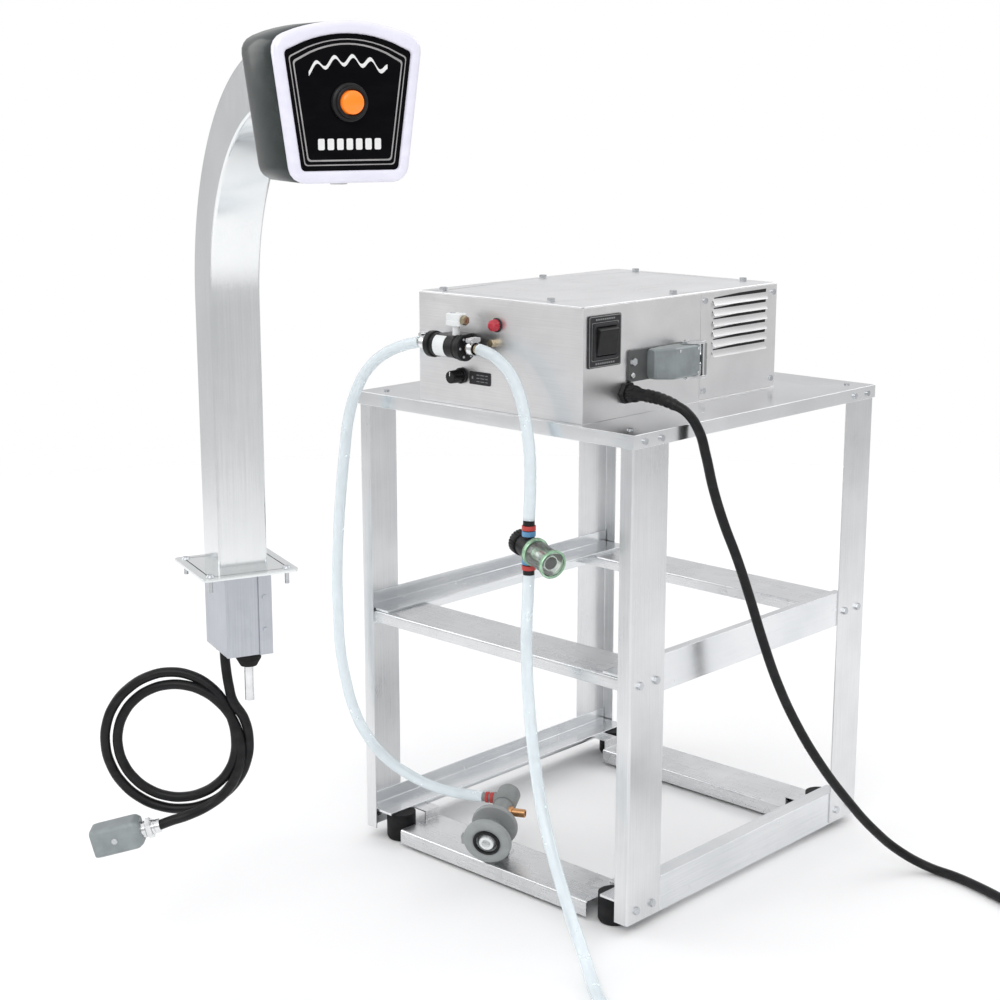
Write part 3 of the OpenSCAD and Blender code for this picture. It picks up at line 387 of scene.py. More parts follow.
class Finish(Enum):
    """Every finish of the dispenser, by what it is used on."""

    POST = Sheet("post_steel", (0.80, 0.805, 0.81), (0.66, 0.67, 0.68), 0.30, grain=UPRIGHT)
    RAIL = Sheet("rail_steel", (0.83, 0.84, 0.85), (0.68, 0.70, 0.72), 0.22, grain=ALONG_Y)
    TIE = Sheet("tie_steel", (0.79, 0.795, 0.80), (0.63, 0.64, 0.65), 0.28, grain=ALONG_X, spangle=0.25)
    TOP = Sheet("top_panel_steel", (0.88, 0.89, 0.90), (0.76, 0.77, 0.78), 0.20, grain=ALONG_X)
    CASE = Sheet("case_steel", (0.88, 0.875, 0.875), (0.76, 0.755, 0.76), 0.34, grain=ALONG_X, spangle=0.15)
    LID = Sheet("lid_steel", (0.97, 0.975, 0.98), (0.92, 0.925, 0.93), 0.30, grain=ALONG_Y)
    TOWER = Sheet("tower_steel", (0.86, 0.875, 0.88), (0.75, 0.77, 0.78), 0.14, 0.06, UPRIGHT, depth=0.00002)
    FLANGE = Sheet("flange_steel", (0.88, 0.90, 0.90), (0.78, 0.81, 0.81), 0.20, 0.08, grain=ALONG_X)
    ZINC = Sheet("service_box_zinc", (0.60, 0.62, 0.66), (0.46, 0.48, 0.52), 0.42,
                 grain=UPRIGHT, spangle=0.35)
    SCREW = Cast("screw_zinc", (0.62, 0.64, 0.66), 1.0, 0.28)
    BRIGHT = Cast("bright_steel", (0.80, 0.81, 0.82), 1.0, 0.16)
    BRASS = Cast("brass", (0.46, 0.39, 0.27), 1.0, 0.32, wear=(0.28, 0.23, 0.15))
    COPPER = Cast("copper", (0.78, 0.42, 0.20), 1.0, 0.30, wear=(0.45, 0.22, 0.12))
    GREY_CAST = Cast("grey_casting", (0.30, 0.335, 0.34), 0.25, 0.42, 700.0)
    DARK_FLANGE = Cast("dark_casting", (0.11, 0.115, 0.115), 0.2, 0.5, 700.0)
    MOTOR = Cast("motor_paint", (0.10, 0.105, 0.11), 0.5, 0.45)
    RUBBER = Moulded("black_rubber", (0.009, 0.009, 0.010), 0.55, dust=0.012, shine=0.15)
    CORD = Moulded("cord_jacket", (0.007, 0.007, 0.008), 0.36, 600.0, dust=0.010, shine=0.22)
    BLACK = Moulded("black_plastic", (0.010, 0.010, 0.011), 0.34, dust=0.014, shine=0.2)
    SATIN = Moulded("satin_black", (0.026, 0.024, 0.027), 0.42, dust=0.02, shine=0.22)
    SHELL = Moulded("head_shell_green_black", (0.010, 0.018, 0.017), 0.22, coat=0.12, dust=0.012, shine=0.4)
    RING = Moulded("head_ring_white", (0.80, 0.79, 0.90), 0.24, coat=0.4, dust=0.06)
    FACE = Moulded("face_gloss", (0.002, 0.002, 0.003), 0.12, 500.0, 0.00001, dust=0.002, shine=0.06)
    BORDER = Cast("border_silver", (0.62, 0.60, 0.60), 0.9, 0.28)
    MARK = Moulded("printed_white", (0.80, 0.80, 0.80), 0.45)
    WHITE = Moulded("white_plastic", (0.80, 0.82, 0.82), 0.35, coat=0.2)
    PALE_GREY = Moulded("pale_grey_plastic", (0.30, 0.32, 0.32), 0.40, 900.0, 0.00005)
    SATIN_GREY = Moulded("dark_grey_disc", (0.30, 0.31, 0.31), 0.42, dust=0.05)
    MID_GREY = Moulded("grey_plastic", (0.24, 0.255, 0.25), 0.45, 900.0, 0.00005)
    RED = Moulded("red_clip", (0.50, 0.035, 0.030), 0.35)
    BLUE = Moulded("blue_sleeve", (0.10, 0.28, 0.50), 0.35)
    BOARD = Moulded("board_green", (0.02, 0.14, 0.06), 0.4)
    LENS = Moulded("button_lens", (0.90, 0.19, 0.008), 0.25, coat=0.2, dust=0.02, glow=0.45)
    LAMP = Clear("lamp_lens", (0.55, 0.006, 0.03), 0.15, 0.12, glow=0.03)
    # the hose's faint glow is painted light: the hose is no lamp
    HOSE = Clear("milky_hose", (0.84, 0.91, 0.94), 0.45, 0.22, 1.38, glow=0.04)
    BOWL = Clear("clear_bowl", (0.93, 0.99, 0.93), 0.96, 0.02)
    BOWL_RIM = Clear("green_rim", (0.52, 0.80, 0.56), 0.75, 0.06)

    @property
    def material(self) -> bpy.types.Material:
        """The finish's material, made when it is first asked for."""
        return bpy.data.materials.get(self.value.name) or self.value.make()


# ---- Meshes ----


class Form:
    """Vertices and faces that grow shape by shape, each shape in its own place."""

    def __init__(self) -> None:
        """Starts empty."""
        self.points: list[Vector] = []
        self.faces: list[tuple[int, ...]] = []
        self.tints: list[int] = []
        self.place = Matrix.Identity(4)
        self.tint = 0

    def at(self, place: Matrix) -> "Form":
        """Puts the next shapes in place, a matrix."""
        self.place = place
        return self

    def rings(self, rings: Sequence[Sequence[Point]], closed: bool = False, capped: bool = True) -> "Form":
        """Skins rings of equally many points.

        Args:
            rings: The rings in order, each anticlockwise as seen from the last one.
            closed: Whether the last ring joins the first.
            capped: Whether the two end rings are filled.

        Returns:
            The form.
        """
        base, count = len(self.points), len(rings[0])
        for ring in rings:
            self.points += [self.place @ Vector(p) for p in ring]
        spans = len(rings) if closed else len(rings) - 1
        for i in range(spans):
            a, b = base + i * count, base + (i + 1) % len(rings) * count
            for k in range(count):
                n = (k + 1) % count
                self._face((a + k, a + n, b + n, b + k))
        if capped and not closed:
            self._face(tuple(base + k for k in reversed(range(count))))
            self._face(tuple(base + (len(rings) - 1) * count + k for k in range(count)))
        return self

    def _face(self, corners: tuple[int, ...]) -> None:
        """Adds one face in the current tint."""
        self.faces.append(corners)
        self.tints.append(self.tint)

    def scaled(self, outline: Sequence[Point], steps: Sequence[Point]) -> "Form":
        """Skins an outline, scaled and raised by each step's (scale, height)."""
        return self.rings([[(x * s, y * s, z) for x, y in outline] for s, z in steps])

    def stepped(self, steps: Sequence[Point]) -> "Form":
        """Skins rounded rectangles, one for each (width, height, corner radius, level)."""
        return self.rings([[(x, y, z) for x, y in rounded_rect(w, h, r)] for w, h, r, z in steps])

    def lathe(self, profile: Sequence[Point], sides: int = 48, closed: bool = False) -> "Form":
        """Turns a profile round the local Z axis.

        Args:
            profile: Its (radius, height) points.
            sides: The sides of a turn.
            closed: Whether the profile's last point joins its first.

        Returns:
            The form.
        """
        return self.rings(
            [[(r * math.cos(TAU * k / sides), r * math.sin(TAU * k / sides), z) for k in range(sides)]
             for r, z in profile],
            closed,
        )

    def prism(self, outline: Sequence[Point], low: float, high: float) -> "Form":
        """Raises an anticlockwise outline from height low to high."""
        return self.rings([[(x, y, z) for x, y in outline] for z in (low, high)])

    def block(self, low: Point, high: Point) -> "Form":
        """A box between two corners."""
        (x, y, z), (u, v, w) = low, high
        return self.prism([(x, y), (u, y), (u, v), (x, v)], z, w)

    def tube(self, path: Sequence[Point], radius: float | Sequence[float], sides: int = 16,
             closed: bool = False) -> "Form":
        """A round bar that follows a path, without twisting.

        Args:
            path: The points that its middle passes through.
            radius: Its radius, or one radius for each point.
            sides: The sides of its section.
            closed: Whether its ends join.

        Returns:
            The form.
        """
        spots = [Vector(p) for p in path]
        last, side, rings = len(spots) - 1, None, []
        for i, spot in enumerate(spots):
            ahead = spots[(i + 1) % len(spots) if closed else min(i + 1, last)]
            behind = spots[i - 1 if closed else max(i - 1, 0)]
            along = (ahead - behind).normalized()
            side = (side - side.dot(along) * along).normalized() if side else along.orthogonal().normalized()
            up = along.cross(side)
            r = radius if isinstance(radius, (int, float)) else radius[i]
            rings.append([spot + r * (math.cos(TAU * k / sides) * side + math.sin(TAU * k / sides) * up)
                          for k in range(sides)])
        return self.rings(rings, closed)

    def piece(self, name: str, *finishes: Finish, bevel: float = 0.0, segments: int = 2, body: str = "frame",
              replaces: Sequence[str] = (), slot: str = "", angle: float = SHARP_DEG) -> bpy.types.Object:
        """Makes the form a named piece that rides on a body.

        Args:
            name: The piece's name.
            finishes: Its finishes, one for each tint.
            bevel: The width of its rounded edges.
            segments: Facets across a rounded edge.
            body: The body that it rides on.
            replaces: The CAD nodes that it stands for.
            slot: The record's material slot, if it isn't the first replaced node's own; not used.
            angle: Edges sharper than this many degrees stay sharp, or are rounded.

        Returns:
            The object.
        """
        mesh = bpy.data.meshes.new(name)
        mesh.from_pydata([tuple(p) for p in self.points], [], self.faces)
        mesh.polygons.foreach_set("material_index", self.tints)
        for finish in finishes:
            mesh.materials.append(finish.material)
        mesh.polygons.foreach_set("use_smooth", [True] * len(mesh.polygons))
        thing = bpy.data.objects.new(name, mesh)
        bpy.context.scene.collection.objects.link(thing)
        soften(thing, bevel, segments, angle)
        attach(thing, body)
        if replaces:
            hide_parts(*replaces)
        slot = slot or (slot_of(replaces[0]) if replaces else "")
        LOG.info("piece %s on %s, %d faces", name, body, len(mesh.polygons))
        return thing


def soften(thing: bpy.types.Object, bevel: float, segments: int, angle: float) -> None:
    """Rounds a piece's edges, or keeps them sharp where it has no bevel.

    Args:
        thing: The piece.
        bevel: The rounded edges' width, or 0 for none.
        segments: Facets across an edge.
        angle: The angle in degrees above which an edge counts.
    """
    if not bevel:
        thing.data.set_sharp_from_angle(angle=math.radians(angle))
        return
    edge = thing.modifiers.new("edges", "BEVEL")
    edge.width, edge.segments, edge.limit_method = bevel, segments, "ANGLE"
    edge.angle_limit, edge.use_clamp_overlap, edge.miter_outer = math.radians(angle), True, "MITER_ARC"
    thing.modifiers.new("shading", "WEIGHTED_NORMAL").keep_sharp = False


def slot_of(node: str) -> str:
    """The record's material slot of a CAD node, or an empty string."""
    slots = [row.get("slot") for row in frame["record"].get("materials", [])]
    return node if node in slots else ""


def smooth_route(route: Sequence[Point], count: int) -> list[Vector]:
    """Points spread evenly along a smooth curve through a route.

    Args:
        route: The points that the curve passes through.
        count: How many points to return.

    Returns:
        The new points, the route's own ends included.
    """
    p = [Vector(q) for q in route]
    p = [2 * p[0] - p[1], *p, 2 * p[-1] - p[-2]]
    fine = []
    for i in range(1, len(p) - 2):
        for k in range(12):
            t = k / 12
            fine.append(0.5 * (2 * p[i] + (p[i + 1] - p[i - 1]) * t
                               + (2 * p[i - 1] - 5 * p[i] + 4 * p[i + 1] - p[i + 2]) * t**2
                               + (3 * p[i] - p[i - 1] - 3 * p[i + 1] + p[i + 2]) * t**3))
    fine.append(p[-2])
    far = [0.0]
    for a, b in zip(fine, fine[1:]):
        far.append(far[-1] + (b - a).length)
    spots, i = [], 0
    for k in range(count):
        goal = far[-1] * k / (count - 1)
        while i < len(far) - 2 and far[i + 1] < goal:
            i += 1
        spots.append(fine[i].lerp(fine[i + 1], min(1.0, (goal - far[i]) / max(far[i + 1] - far[i], 1e-9))))
    return spots


def route_length(points: Sequence[Point]) -> float:
    """The length of the line through points."""
    return sum((Vector(b) - Vector(a)).length for a, b in zip(points, points[1:]))


def eased(share: float) -> float:
    """The share, held from 0 to 1, with a slow start and end."""
    t = min(1.0, max(0.0, share))
    return t * t * (3 - 2 * t)


def spun(x: float = 0.0, y: float = 0.0, z: float = 0.0) -> Matrix:
    """A turn about X, then Y, then Z, in degrees."""
    return Euler([math.radians(v) for v in (x, y, z)]).to_matrix().to_4x4()


def moved(x: float, y: float, z: float) -> Matrix:
    """A shift."""
    return Matrix.Translation((x, y, z))


# ---- Studio ----


@dataclass(frozen=True)
class Studio:
    """Camera, pale floor and soft lights."""

    eye: Point = (1.3442, -1.4293, 0.9101)
    heading_deg: float = 43.26
    down_deg: float = 12.65
    lens_mm: float = 65.84
    sensor_mm: float = 36.0
    floor_r: float = 3.4
    floor_sides: int = 96
    floor_gap: float = 0.0004
    fade_from: float = 1.3

    def camera(self) -> None:
        """Makes the camera."""
        data = bpy.data.cameras.new("camera")
        data.lens, data.sensor_width = self.lens_mm, self.sensor_mm
        camera = bpy.data.objects.new("camera", data)
        camera.location = self.eye
        camera.rotation_euler = (math.radians(90 - self.down_deg), 0.0, math.radians(self.heading_deg))
        bpy.context.scene.collection.objects.link(camera)
        bpy.context.scene.camera = camera

    def floor(self) -> None:
        """Makes the round floor, which fades out into the pale surroundings."""
        mesh = bpy.data.meshes.new("floor")
        count, r = self.floor_sides, self.floor_r
        rim = [(r * math.cos(TAU * k / count), r * math.sin(TAU * k / count), 0.0) for k in range(count)]
        mesh.from_pydata(rim, [], [tuple(range(count))])
        p = Painter("floor_paint")
        p.set(Base_Color=(0.93, 0.93, 0.93), Roughness=0.65)
        far = p.node("ShaderNodeVectorMath", {"operation": "LENGTH"}, {0: p.place()}, out="Value")
        p.set(Alpha=1 - far.between(self.fade_from, self.floor_r * 0.97))
        mesh.materials.append(p.material)
        floor = bpy.data.objects.new("floor", mesh)
        floor.location.z = -self.floor_gap
        bpy.context.scene.collection.objects.link(floor)

    def lamp(self, name: str, place: Point, aim: Point, size: Point, power: float) -> None:
        """Makes one soft light.

        Args:
            name: Its name.
            place: Where it stands.
            aim: The point that it faces.
            size: Its width and height.
            power: Its power in watts.
        """
        data = bpy.data.lights.new(name, "AREA")
        data.shape, data.size, data.size_y, data.energy = "RECTANGLE", size[0], size[1], power
        light = bpy.data.objects.new(name, data)
        light.location = place
        light.rotation_euler = (Vector(aim) - Vector(place)).to_track_quat("-Z", "Y").to_euler()
        bpy.context.scene.collection.objects.link(light)

    def surroundings(self) -> None:
        """Makes the pale room that the metal reflects."""
        world = bpy.data.worlds.new("room")
        bpy.context.scene.world = world
        world.use_nodes = True
        tree = world.node_tree
        tree.nodes.clear()
        out = tree.nodes.new("ShaderNodeOutputWorld")
        kinds = ("ShaderNodeBackground", "ShaderNodeBackground", "ShaderNodeMixShader")
        shown, lit, mix = (tree.nodes.new(kind) for kind in kinds)
        path, spot = tree.nodes.new("ShaderNodeLightPath"), tree.nodes.new("ShaderNodeTexCoord")
        split, ramp = tree.nodes.new("ShaderNodeSeparateXYZ"), tree.nodes.new("ShaderNodeValToRGB")
        shown.inputs["Color"].default_value = (1.0, 1.0, 1.0, 1.0)
        shown.inputs["Strength"].default_value = 1.0
        tree.links.new(spot.outputs["Generated"], split.inputs[0])
        rise = tree.nodes.new("ShaderNodeMapRange")
        for key, value in ((1, -1.0), (2, 1.0), (3, 0.0), (4, 1.0)):
            rise.inputs[key].default_value = value
        tree.links.new(split.outputs["Z"], rise.inputs[0])
        tree.links.new(rise.outputs[0], ramp.inputs[0])
        stops = ((0.0, 0.88), (0.46, 0.76), (0.54, 0.66), (0.66, 0.92), (0.85, 1.2), (1.0, 1.3))
        elements = ramp.color_ramp.elements
        while len(elements) < len(stops):
            elements.new(1.0)
        for element, (place, tone) in zip(elements, stops):
            element.position, element.color = place, (tone, tone, tone * 1.01, 1.0)
        tree.links.new(ramp.outputs[0], lit.inputs["Color"])
        lit.inputs["Strength"].default_value = 0.85
        tree.links.new(path.outputs["Is Camera Ray"], mix.inputs[0])
        tree.links.new(lit.outputs[0], mix.inputs[1])
        tree.links.new(shown.outputs[0], mix.inputs[2])
        tree.links.new(mix.outputs[0], out.inputs["Surface"])

    def build(self) -> None:
        """Makes the whole studio."""
        self.camera()
        self.floor()
        self.surroundings()
        self.lamp("key_light", (1.6, -2.6, 2.6), (0.0, 0.1, 0.4), (2.2, 1.6), 34.0)
        self.lamp("left_light", (-2.6, -1.2, 1.8), (0.0, 0.0, 0.5), (1.6, 2.2), 16.0)
        self.lamp("back_light", (0.6, 2.8, 2.4), (0.0, 0.0, 0.5), (2.4, 1.2), 16.0)
        bpy.context.scene.view_settings.view_transform = "Standard"
        LOG.info("studio built")


# ---- Cords and hoses ----


@dataclass(frozen=True)
class Coil:
    """A flat coil on the floor: turns beside each other, then one that rolls over the outside."""

    centre: Point
    middle_r: float
    thick: float
    enter_deg: float
    leave_deg: float
    roll_from: float = 120.0
    roll_over: float = 150.0

    def radius_height(self, angle: float) -> tuple[float, float]:
        """The turn's radius and height at an angle.

        Args:
            angle: The angle from the coil's entry, in degrees.

        Returns:
            (radius, height of the cord's middle).
        """
        d, low = self.thick, self.thick / 2
        outer, inner = self.middle_r + d / 2, self.middle_r - d / 2
        whole = self.leave_deg - self.enter_deg
        nest = low + d * math.sqrt(0.75)
        keys = [(0.0, outer, low), (290.0, outer, low), (360.0, inner, low)]
        if whole > 1000:
            keys += [(650.0, inner, low), (715.0, self.middle_r, nest),
                     (whole - self.roll_over, self.middle_r, nest)]
        else:
            keys += [(whole - 240.0, inner, low), (whole - 175.0, self.middle_r, nest),
                     (whole - self.roll_over, self.middle_r, nest)]
        if angle >= keys[-1][0]:
            roll = math.radians(self.roll_from * (1 - min(1.0, (angle - keys[-1][0]) / self.roll_over)))
            return outer + d * math.cos(roll), low + d * math.sin(roll)
        for (a, r, z), (b, s, w) in zip(keys, keys[1:]):
            if angle <= b:
                t = eased((angle - a) / (b - a))
                return r + (s - r) * t, z + (w - z) * t
        return outer, low

    def points(self, step: float = 20.0) -> list[Vector]:
        """The coil's points, the first one left out, because the lead-in ends there.

        Args:
            step: The angle between two points, in degrees.

        Returns:
            The points.
        """
        spots, whole = [], self.leave_deg - self.enter_deg
        count = round(whole / step)
        for k in range(1, count + 1):
            angle = whole * k / count
            r, z = self.radius_height(angle)
            turn = math.radians(self.enter_deg + angle)
            x, y = self.centre[0] + r * math.cos(turn), self.centre[1] + r * math.sin(turn)
            spots.append(Vector((x, y, z)))
        return spots


@dataclass(frozen=True)
class Cord:
    """One free cord or hose."""

    name: str
    thick: float
    finish: Finish
    replaces: tuple[str, ...]
    exit: Point
    far_end: str
    stiffness: str
    lay: str

    def lay_out(self, points: Sequence[Point], with_pieces: Sequence[Any] = ()) -> bpy.types.Object:
        """Args:
            points: The points that its middle passes through.
            with_pieces: The pieces on it; not used.

        Returns:
            The curve.
        """
        data = bpy.data.curves.new(self.name, "CURVE")
        data.dimensions, data.resolution_u = "3D", 6
        data.bevel_depth, data.bevel_resolution = self.thick / 2, 5
        data.use_fill_caps = True
        line = data.splines.new("BEZIER")
        line.bezier_points.add(len(points) - 1)
        for knot, spot in zip(line.bezier_points, points):
            knot.co, knot.handle_left_type, knot.handle_right_type = spot, "AUTO", "AUTO"
        line.use_smooth = True
        data.materials.append(self.finish.material)
        cord = bpy.data.objects.new(self.name, data)
        bpy.context.scene.collection.objects.link(cord)
        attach(cord, "frame")
        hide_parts(*self.replaces)
        slot = slot_of(self.replaces[0])
        long = route_length(smooth_route(points, 12 * len(points)))
        LOG.info("cord %s is %.3f m long", self.name, long)
        return cord


@dataclass
class Cords:
    """Every hose, cord and cable, with its coil, tie and end fitting."""

    hose_d: float = 0.013
    cord_d: float = 0.011
    cable_d: float = 0.0105
    inlet: tuple[Point, ...] = (
        (-0.1275, 0.003, 0.6325), (-0.150, 0.001, 0.627), (-0.178, -0.004, 0.615), (-0.202, -0.008, 0.596),
        (-0.220, -0.010, 0.570), (-0.233, -0.012, 0.535), (-0.241, -0.012, 0.495), (-0.249, -0.012, 0.445),
        (-0.256, -0.011, 0.395), (-0.261, -0.010, 0.345), (-0.262, -0.009, 0.295), (-0.261, -0.008, 0.250),
        (-0.254, -0.006, 0.208), (-0.243, -0.002, 0.168), (-0.228, 0.006, 0.136), (-0.209, 0.017, 0.111),
        (-0.185, 0.032, 0.092), (-0.164, 0.048, 0.079), (-0.137, 0.062, 0.073), (-0.1017, 0.077, 0.0723))
    outlet_upper: tuple[Point, ...] = (
        (-0.0355, 0.003, 0.6325), (-0.018, 0.003, 0.629), (0.003, 0.002, 0.619), (0.020, 0.001, 0.603),
        (0.033, -0.001, 0.580), (0.043, -0.004, 0.552), (0.050, -0.007, 0.522), (0.054, -0.011, 0.490),
        (0.055, -0.014, 0.458))
    outlet_lower: tuple[Point, ...] = (
        (0.055, -0.014, 0.398), (0.054, -0.014, 0.370), (0.054, -0.016, 0.340), (0.057, -0.019, 0.305),
        (0.063, -0.023, 0.268), (0.073, -0.029, 0.230), (0.086, -0.036, 0.190), (0.103, -0.044, 0.150),
        (0.124, -0.052, 0.111), (0.148, -0.060, 0.074), (0.172, -0.068, 0.042), (0.198, -0.080, 0.018),
        (0.228, -0.102, 0.0075), (0.258, -0.126, 0.0066), (0.281, -0.154, 0.0066), (0.295, -0.188, 0.0066),
        (0.300, -0.224, 0.0066), (0.3005, -0.268, 0.0066))
    mains: tuple[Point, ...] = (
        (0.124, 0.0985, 0.588), (0.142, 0.0988, 0.5865), (0.159, 0.101, 0.582), (0.173, 0.106, 0.574),
        (0.184, 0.113, 0.555), (0.188, 0.121, 0.528), (0.190, 0.133, 0.490), (0.195, 0.147, 0.450),
        (0.202, 0.164, 0.408), (0.209, 0.180, 0.362), (0.217, 0.196, 0.311), (0.226, 0.215, 0.258),
        (0.237, 0.240, 0.205), (0.250, 0.272, 0.152), (0.265, 0.308, 0.102), (0.281, 0.344, 0.058),
        (0.300, 0.378, 0.024), (0.326, 0.396, 0.008), (0.362, 0.398, 0.0056), (0.400, 0.390, 0.0056),
        (0.440, 0.378, 0.0056), (0.478, 0.368, 0.0056))
    cable_top: tuple[Point, ...] = (
        (-0.1064, -0.304, 0.346), (-0.1062, -0.304, 0.336), (-0.104, -0.3044, 0.322),
        (-0.1005, -0.3046, 0.307), (-0.095, -0.3046, 0.292))
    cable_end: tuple[Point, ...] = (
        (-0.116, -0.354, 0.173), (-0.125, -0.366, 0.169), (-0.134, -0.377, 0.164))
    hose_coil: Coil = Coil((0.402, -0.278), 0.095, 0.013, 180.0, 1440.0)
    cord_coil: Coil = Coil((0.530, 0.426), 0.062, 0.011, 255.0, 1080.0)
    hank_centre: Point = (-0.1391, -0.3446, 0.247)
    hank_turn_deg: float = 43.0
    hank_turns: int = 2
    hank_from_deg: float = 37.0
    hank_to_deg: float = -81.0
    hank_step_deg: float = 18.0
    hank_outer: float = 0.0750
    hank_inner: float = 0.0620
    tail: float = 0.020
    nut_rise: float = 0.0028
    tie_width: float = 0.012
    tie_t: float = 0.0010
    tie_corner: float = 0.005

    def cable_turns(self) -> list[Vector]:
        """The tower cable's hanging turns, from the top entry to the low exit.

        Returns:
            The points.
        """
        facing = math.radians(self.hank_turn_deg)
        across = Vector((math.cos(facing), math.sin(facing), 0))
        ahead = Vector((across.y, -across.x, 0))
        start, stop = self.hank_from_deg, self.hank_to_deg - 360.0 * self.hank_turns
        outer, inner = self.hank_outer, self.hank_inner
        count = round((start - stop) / self.hank_step_deg)
        spots = []
        for k in range(1, count):
            angle = start + (stop - start) * k / count
            done = (start - angle) / 360.0
            # the first turn is the outer one, the second the inner one, and the end crosses in front
            ease, back = eased((done - 0.80) / 0.30), eased((done - 1.95) / 0.38)
            r = outer + (inner - outer) * ease + (outer - inner) * back
            sway = math.sin(TAU * min(1.0, max(0.0, (done - 0.75) / 0.5))) * (done < 1.25)
            front = 0.011 * back - 0.004 * sway
            turn = math.radians(angle)
            spoke = r * (math.cos(turn) * across + Vector((0, 0, math.sin(turn))))
            spots.append(Vector(self.hank_centre) + spoke + front * ahead)
        return spots

    def coil_end(self, coil: Coil, rise: float = 0.0) -> list[Vector]:
        """The coil's points and its tail, which runs towards +Y.

        Args:
            coil: The coil.
            rise: How far the tail rises to its fitting.

        Returns:
            The points.
        """
        turns = coil.points()
        last = turns[-1]
        return turns + [last + Vector((0, self.tail * share, rise * share**2)) for share in (0.5, 1.0)]

    def tie(self, name: str, coil: Coil, angle_deg: float) -> bpy.types.Object:
        """A strap round a coil's bundle of turns.

        Args:
            name: The piece's name.
            coil: The coil.
            angle_deg: Where on the coil it sits.

        Returns:
            The strap.
        """
        turn = math.radians(angle_deg)
        d, w = coil.thick, self.tie_width / 2
        low, high = 0.0004, 2 * d + 0.0012
        thick, corner = self.tie_t, self.tie_corner
        inner, outer = coil.middle_r - d - thick, coil.middle_r + d + thick
        loop = []
        for r, z, a in ((outer, low, -90), (outer, high, 0), (inner, high, 90), (inner, low, 180)):
            for k in range(5):
                bend = math.radians(a + 22.5 * k)
                cx = r - corner if r == outer else r + corner
                cz = z + corner if z == low else z - corner
                loop.append((cx + corner * math.cos(bend), cz + corner * math.sin(bend)))
        form = Form().at(moved(coil.centre[0], coil.centre[1], 0) @ Matrix.Rotation(turn, 4, "Z"))
        middle_r, middle_z = (inner + outer) / 2, (low + high) / 2
        rings = []
        for r, z in loop:
            away = Vector((r - middle_r, 0, z - middle_z)).normalized() * thick
            rings.append([(r, -w, z), (r, w, z), (r - away.x, w, z - away.z), (r - away.x, -w, z - away.z)])
        form.rings(rings, closed=True)
        return form.piece(name, Finish.RUBBER)

    def hose_fitting(self) -> bpy.types.Object:
        """The brass nut and tail on the outlet hose's far end.

        Returns:
            The piece.
        """
        low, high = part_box("outlet_hose_fitting")
        spot = ((low.x + high.x) / 2, low.y, self.hose_d / 2 + self.nut_rise)
        form = Form().at(moved(*spot) @ spun(x=-90) @ Matrix.Scale(MM, 4))
        form.tint = 1
        form.lathe([(4.5, 0.0), (7.2, 0.0), (7.4, 0.6), (7.4, 8.0), (7.2, 8.6), (4.5, 8.6)], 36)
        form.tint = 0
        form.lathe([(3.2, 8.0), (5.0, 8.0), (5.0, 12.0), (3.2, 12.0)], 36)
        form.rings([hexagon_ring(*step) for step in ((17.0, 11.5), (18.6, 12.4), (18.6, 25.2), (17.0, 26.0))])
        return form.piece("hose_end_nut", Finish.BRASS, Finish.BRIGHT, bevel=0.0003,
                          replaces=["outlet_hose_fitting"])

    def mains_plug(self) -> bpy.types.Object:
        """The moulded three-pin plug, lying on the floor.

        Returns:
            The piece.
        """
        low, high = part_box("power_plug")
        form = Form().at(moved((low.x + high.x) / 2, low.y, 0) @ Matrix.Scale(MM, 4))
        form.rings([[(x * s, y, 11.5 + z * s * t) for x, z in rounded_rect(26, 23, 6)]
                    for y, s, t in ((40, 0.90, 0.9), (39, 0.98, 0.98), (37, 1.0, 1.0), (18, 1.0, 1.0),
                                    (14, 0.92, 0.94), (12, 0.72, 0.78), (6, 0.58, 0.62), (0.5, 0.52, 0.54))])
        form.tint = 1
        for x in (-6.35, 6.35):
            form.block((x - 0.75, 39.5, 9.0), (x + 0.75, 57.5, 15.3))
        form.rings([[(2.4 * math.cos(a) * s, y, 19.0 + 2.4 * math.sin(a) * s)
                     for a in (TAU * k / 20 for k in range(20))]
                    for y, s in ((59.5, 0.4), (58.5, 0.85), (57.0, 1.0), (39.5, 1.0))])
        return form.piece("mains_plug", Finish.BLACK, Finish.BRIGHT, bevel=0.0006, replaces=["power_plug"])

    def cable_hood(self) -> bpy.types.Object:
        """The grey bevelled plug hood and bright gland on the tower cable's far end.

        Returns:
            The piece.
        """
        hood = moved(*self.cable_end[-1]) @ spun(y=14, z=225) @ Matrix.Scale(MM, 4)
        form = Form().at(hood)
        section = rounded_rect(30, 30, 5)
        form.rings([[(x, p * s, q * s) for p, q in section]
                    for x, s in ((17, 0.80), (21, 0.96), (24, 1.0), (62, 1.0), (66.5, 0.98), (68, 0.95))])
        form.rings([[(x, p, q) for p, q in rounded_rect(27.5, 27.5, 4)] for x in (66, 68)])
        form.tint = 1
        form.at(hood @ spun(y=90))
        form.lathe([(5.4, -3.0), (6.9, -3.0), (7.2, -2.2), (7.2, 2.0), (6.6, 2.6), (7.6, 3.2), (7.6, 5.6),
                    (5.4, 5.6)], 40)
        form.rings([hexagon_ring(*step) for step in ((18.2, 5.6), (19.6, 6.4), (19.6, 11.0), (18.2, 11.8))])
        form.lathe([(6.0, 11.6), (8.6, 11.6), (8.6, 18.0), (6.0, 18.0)], 40)
        form.tint = 2
        for side in (-1, 1):
            form.at(hood @ moved(44, side * 15.0, 0) @ spun(x=-90 * side))
            form.lathe([(0.01, -0.8), (3.4, -0.8), (3.4, 0.5), (3.0, 0.9), (0.01, 0.9)], 24)
        return form.piece("cable_plug_hood", Finish.GREY_CAST, Finish.BRIGHT, Finish.SCREW, bevel=0.0008,
                          replaces=["cable_plug"])

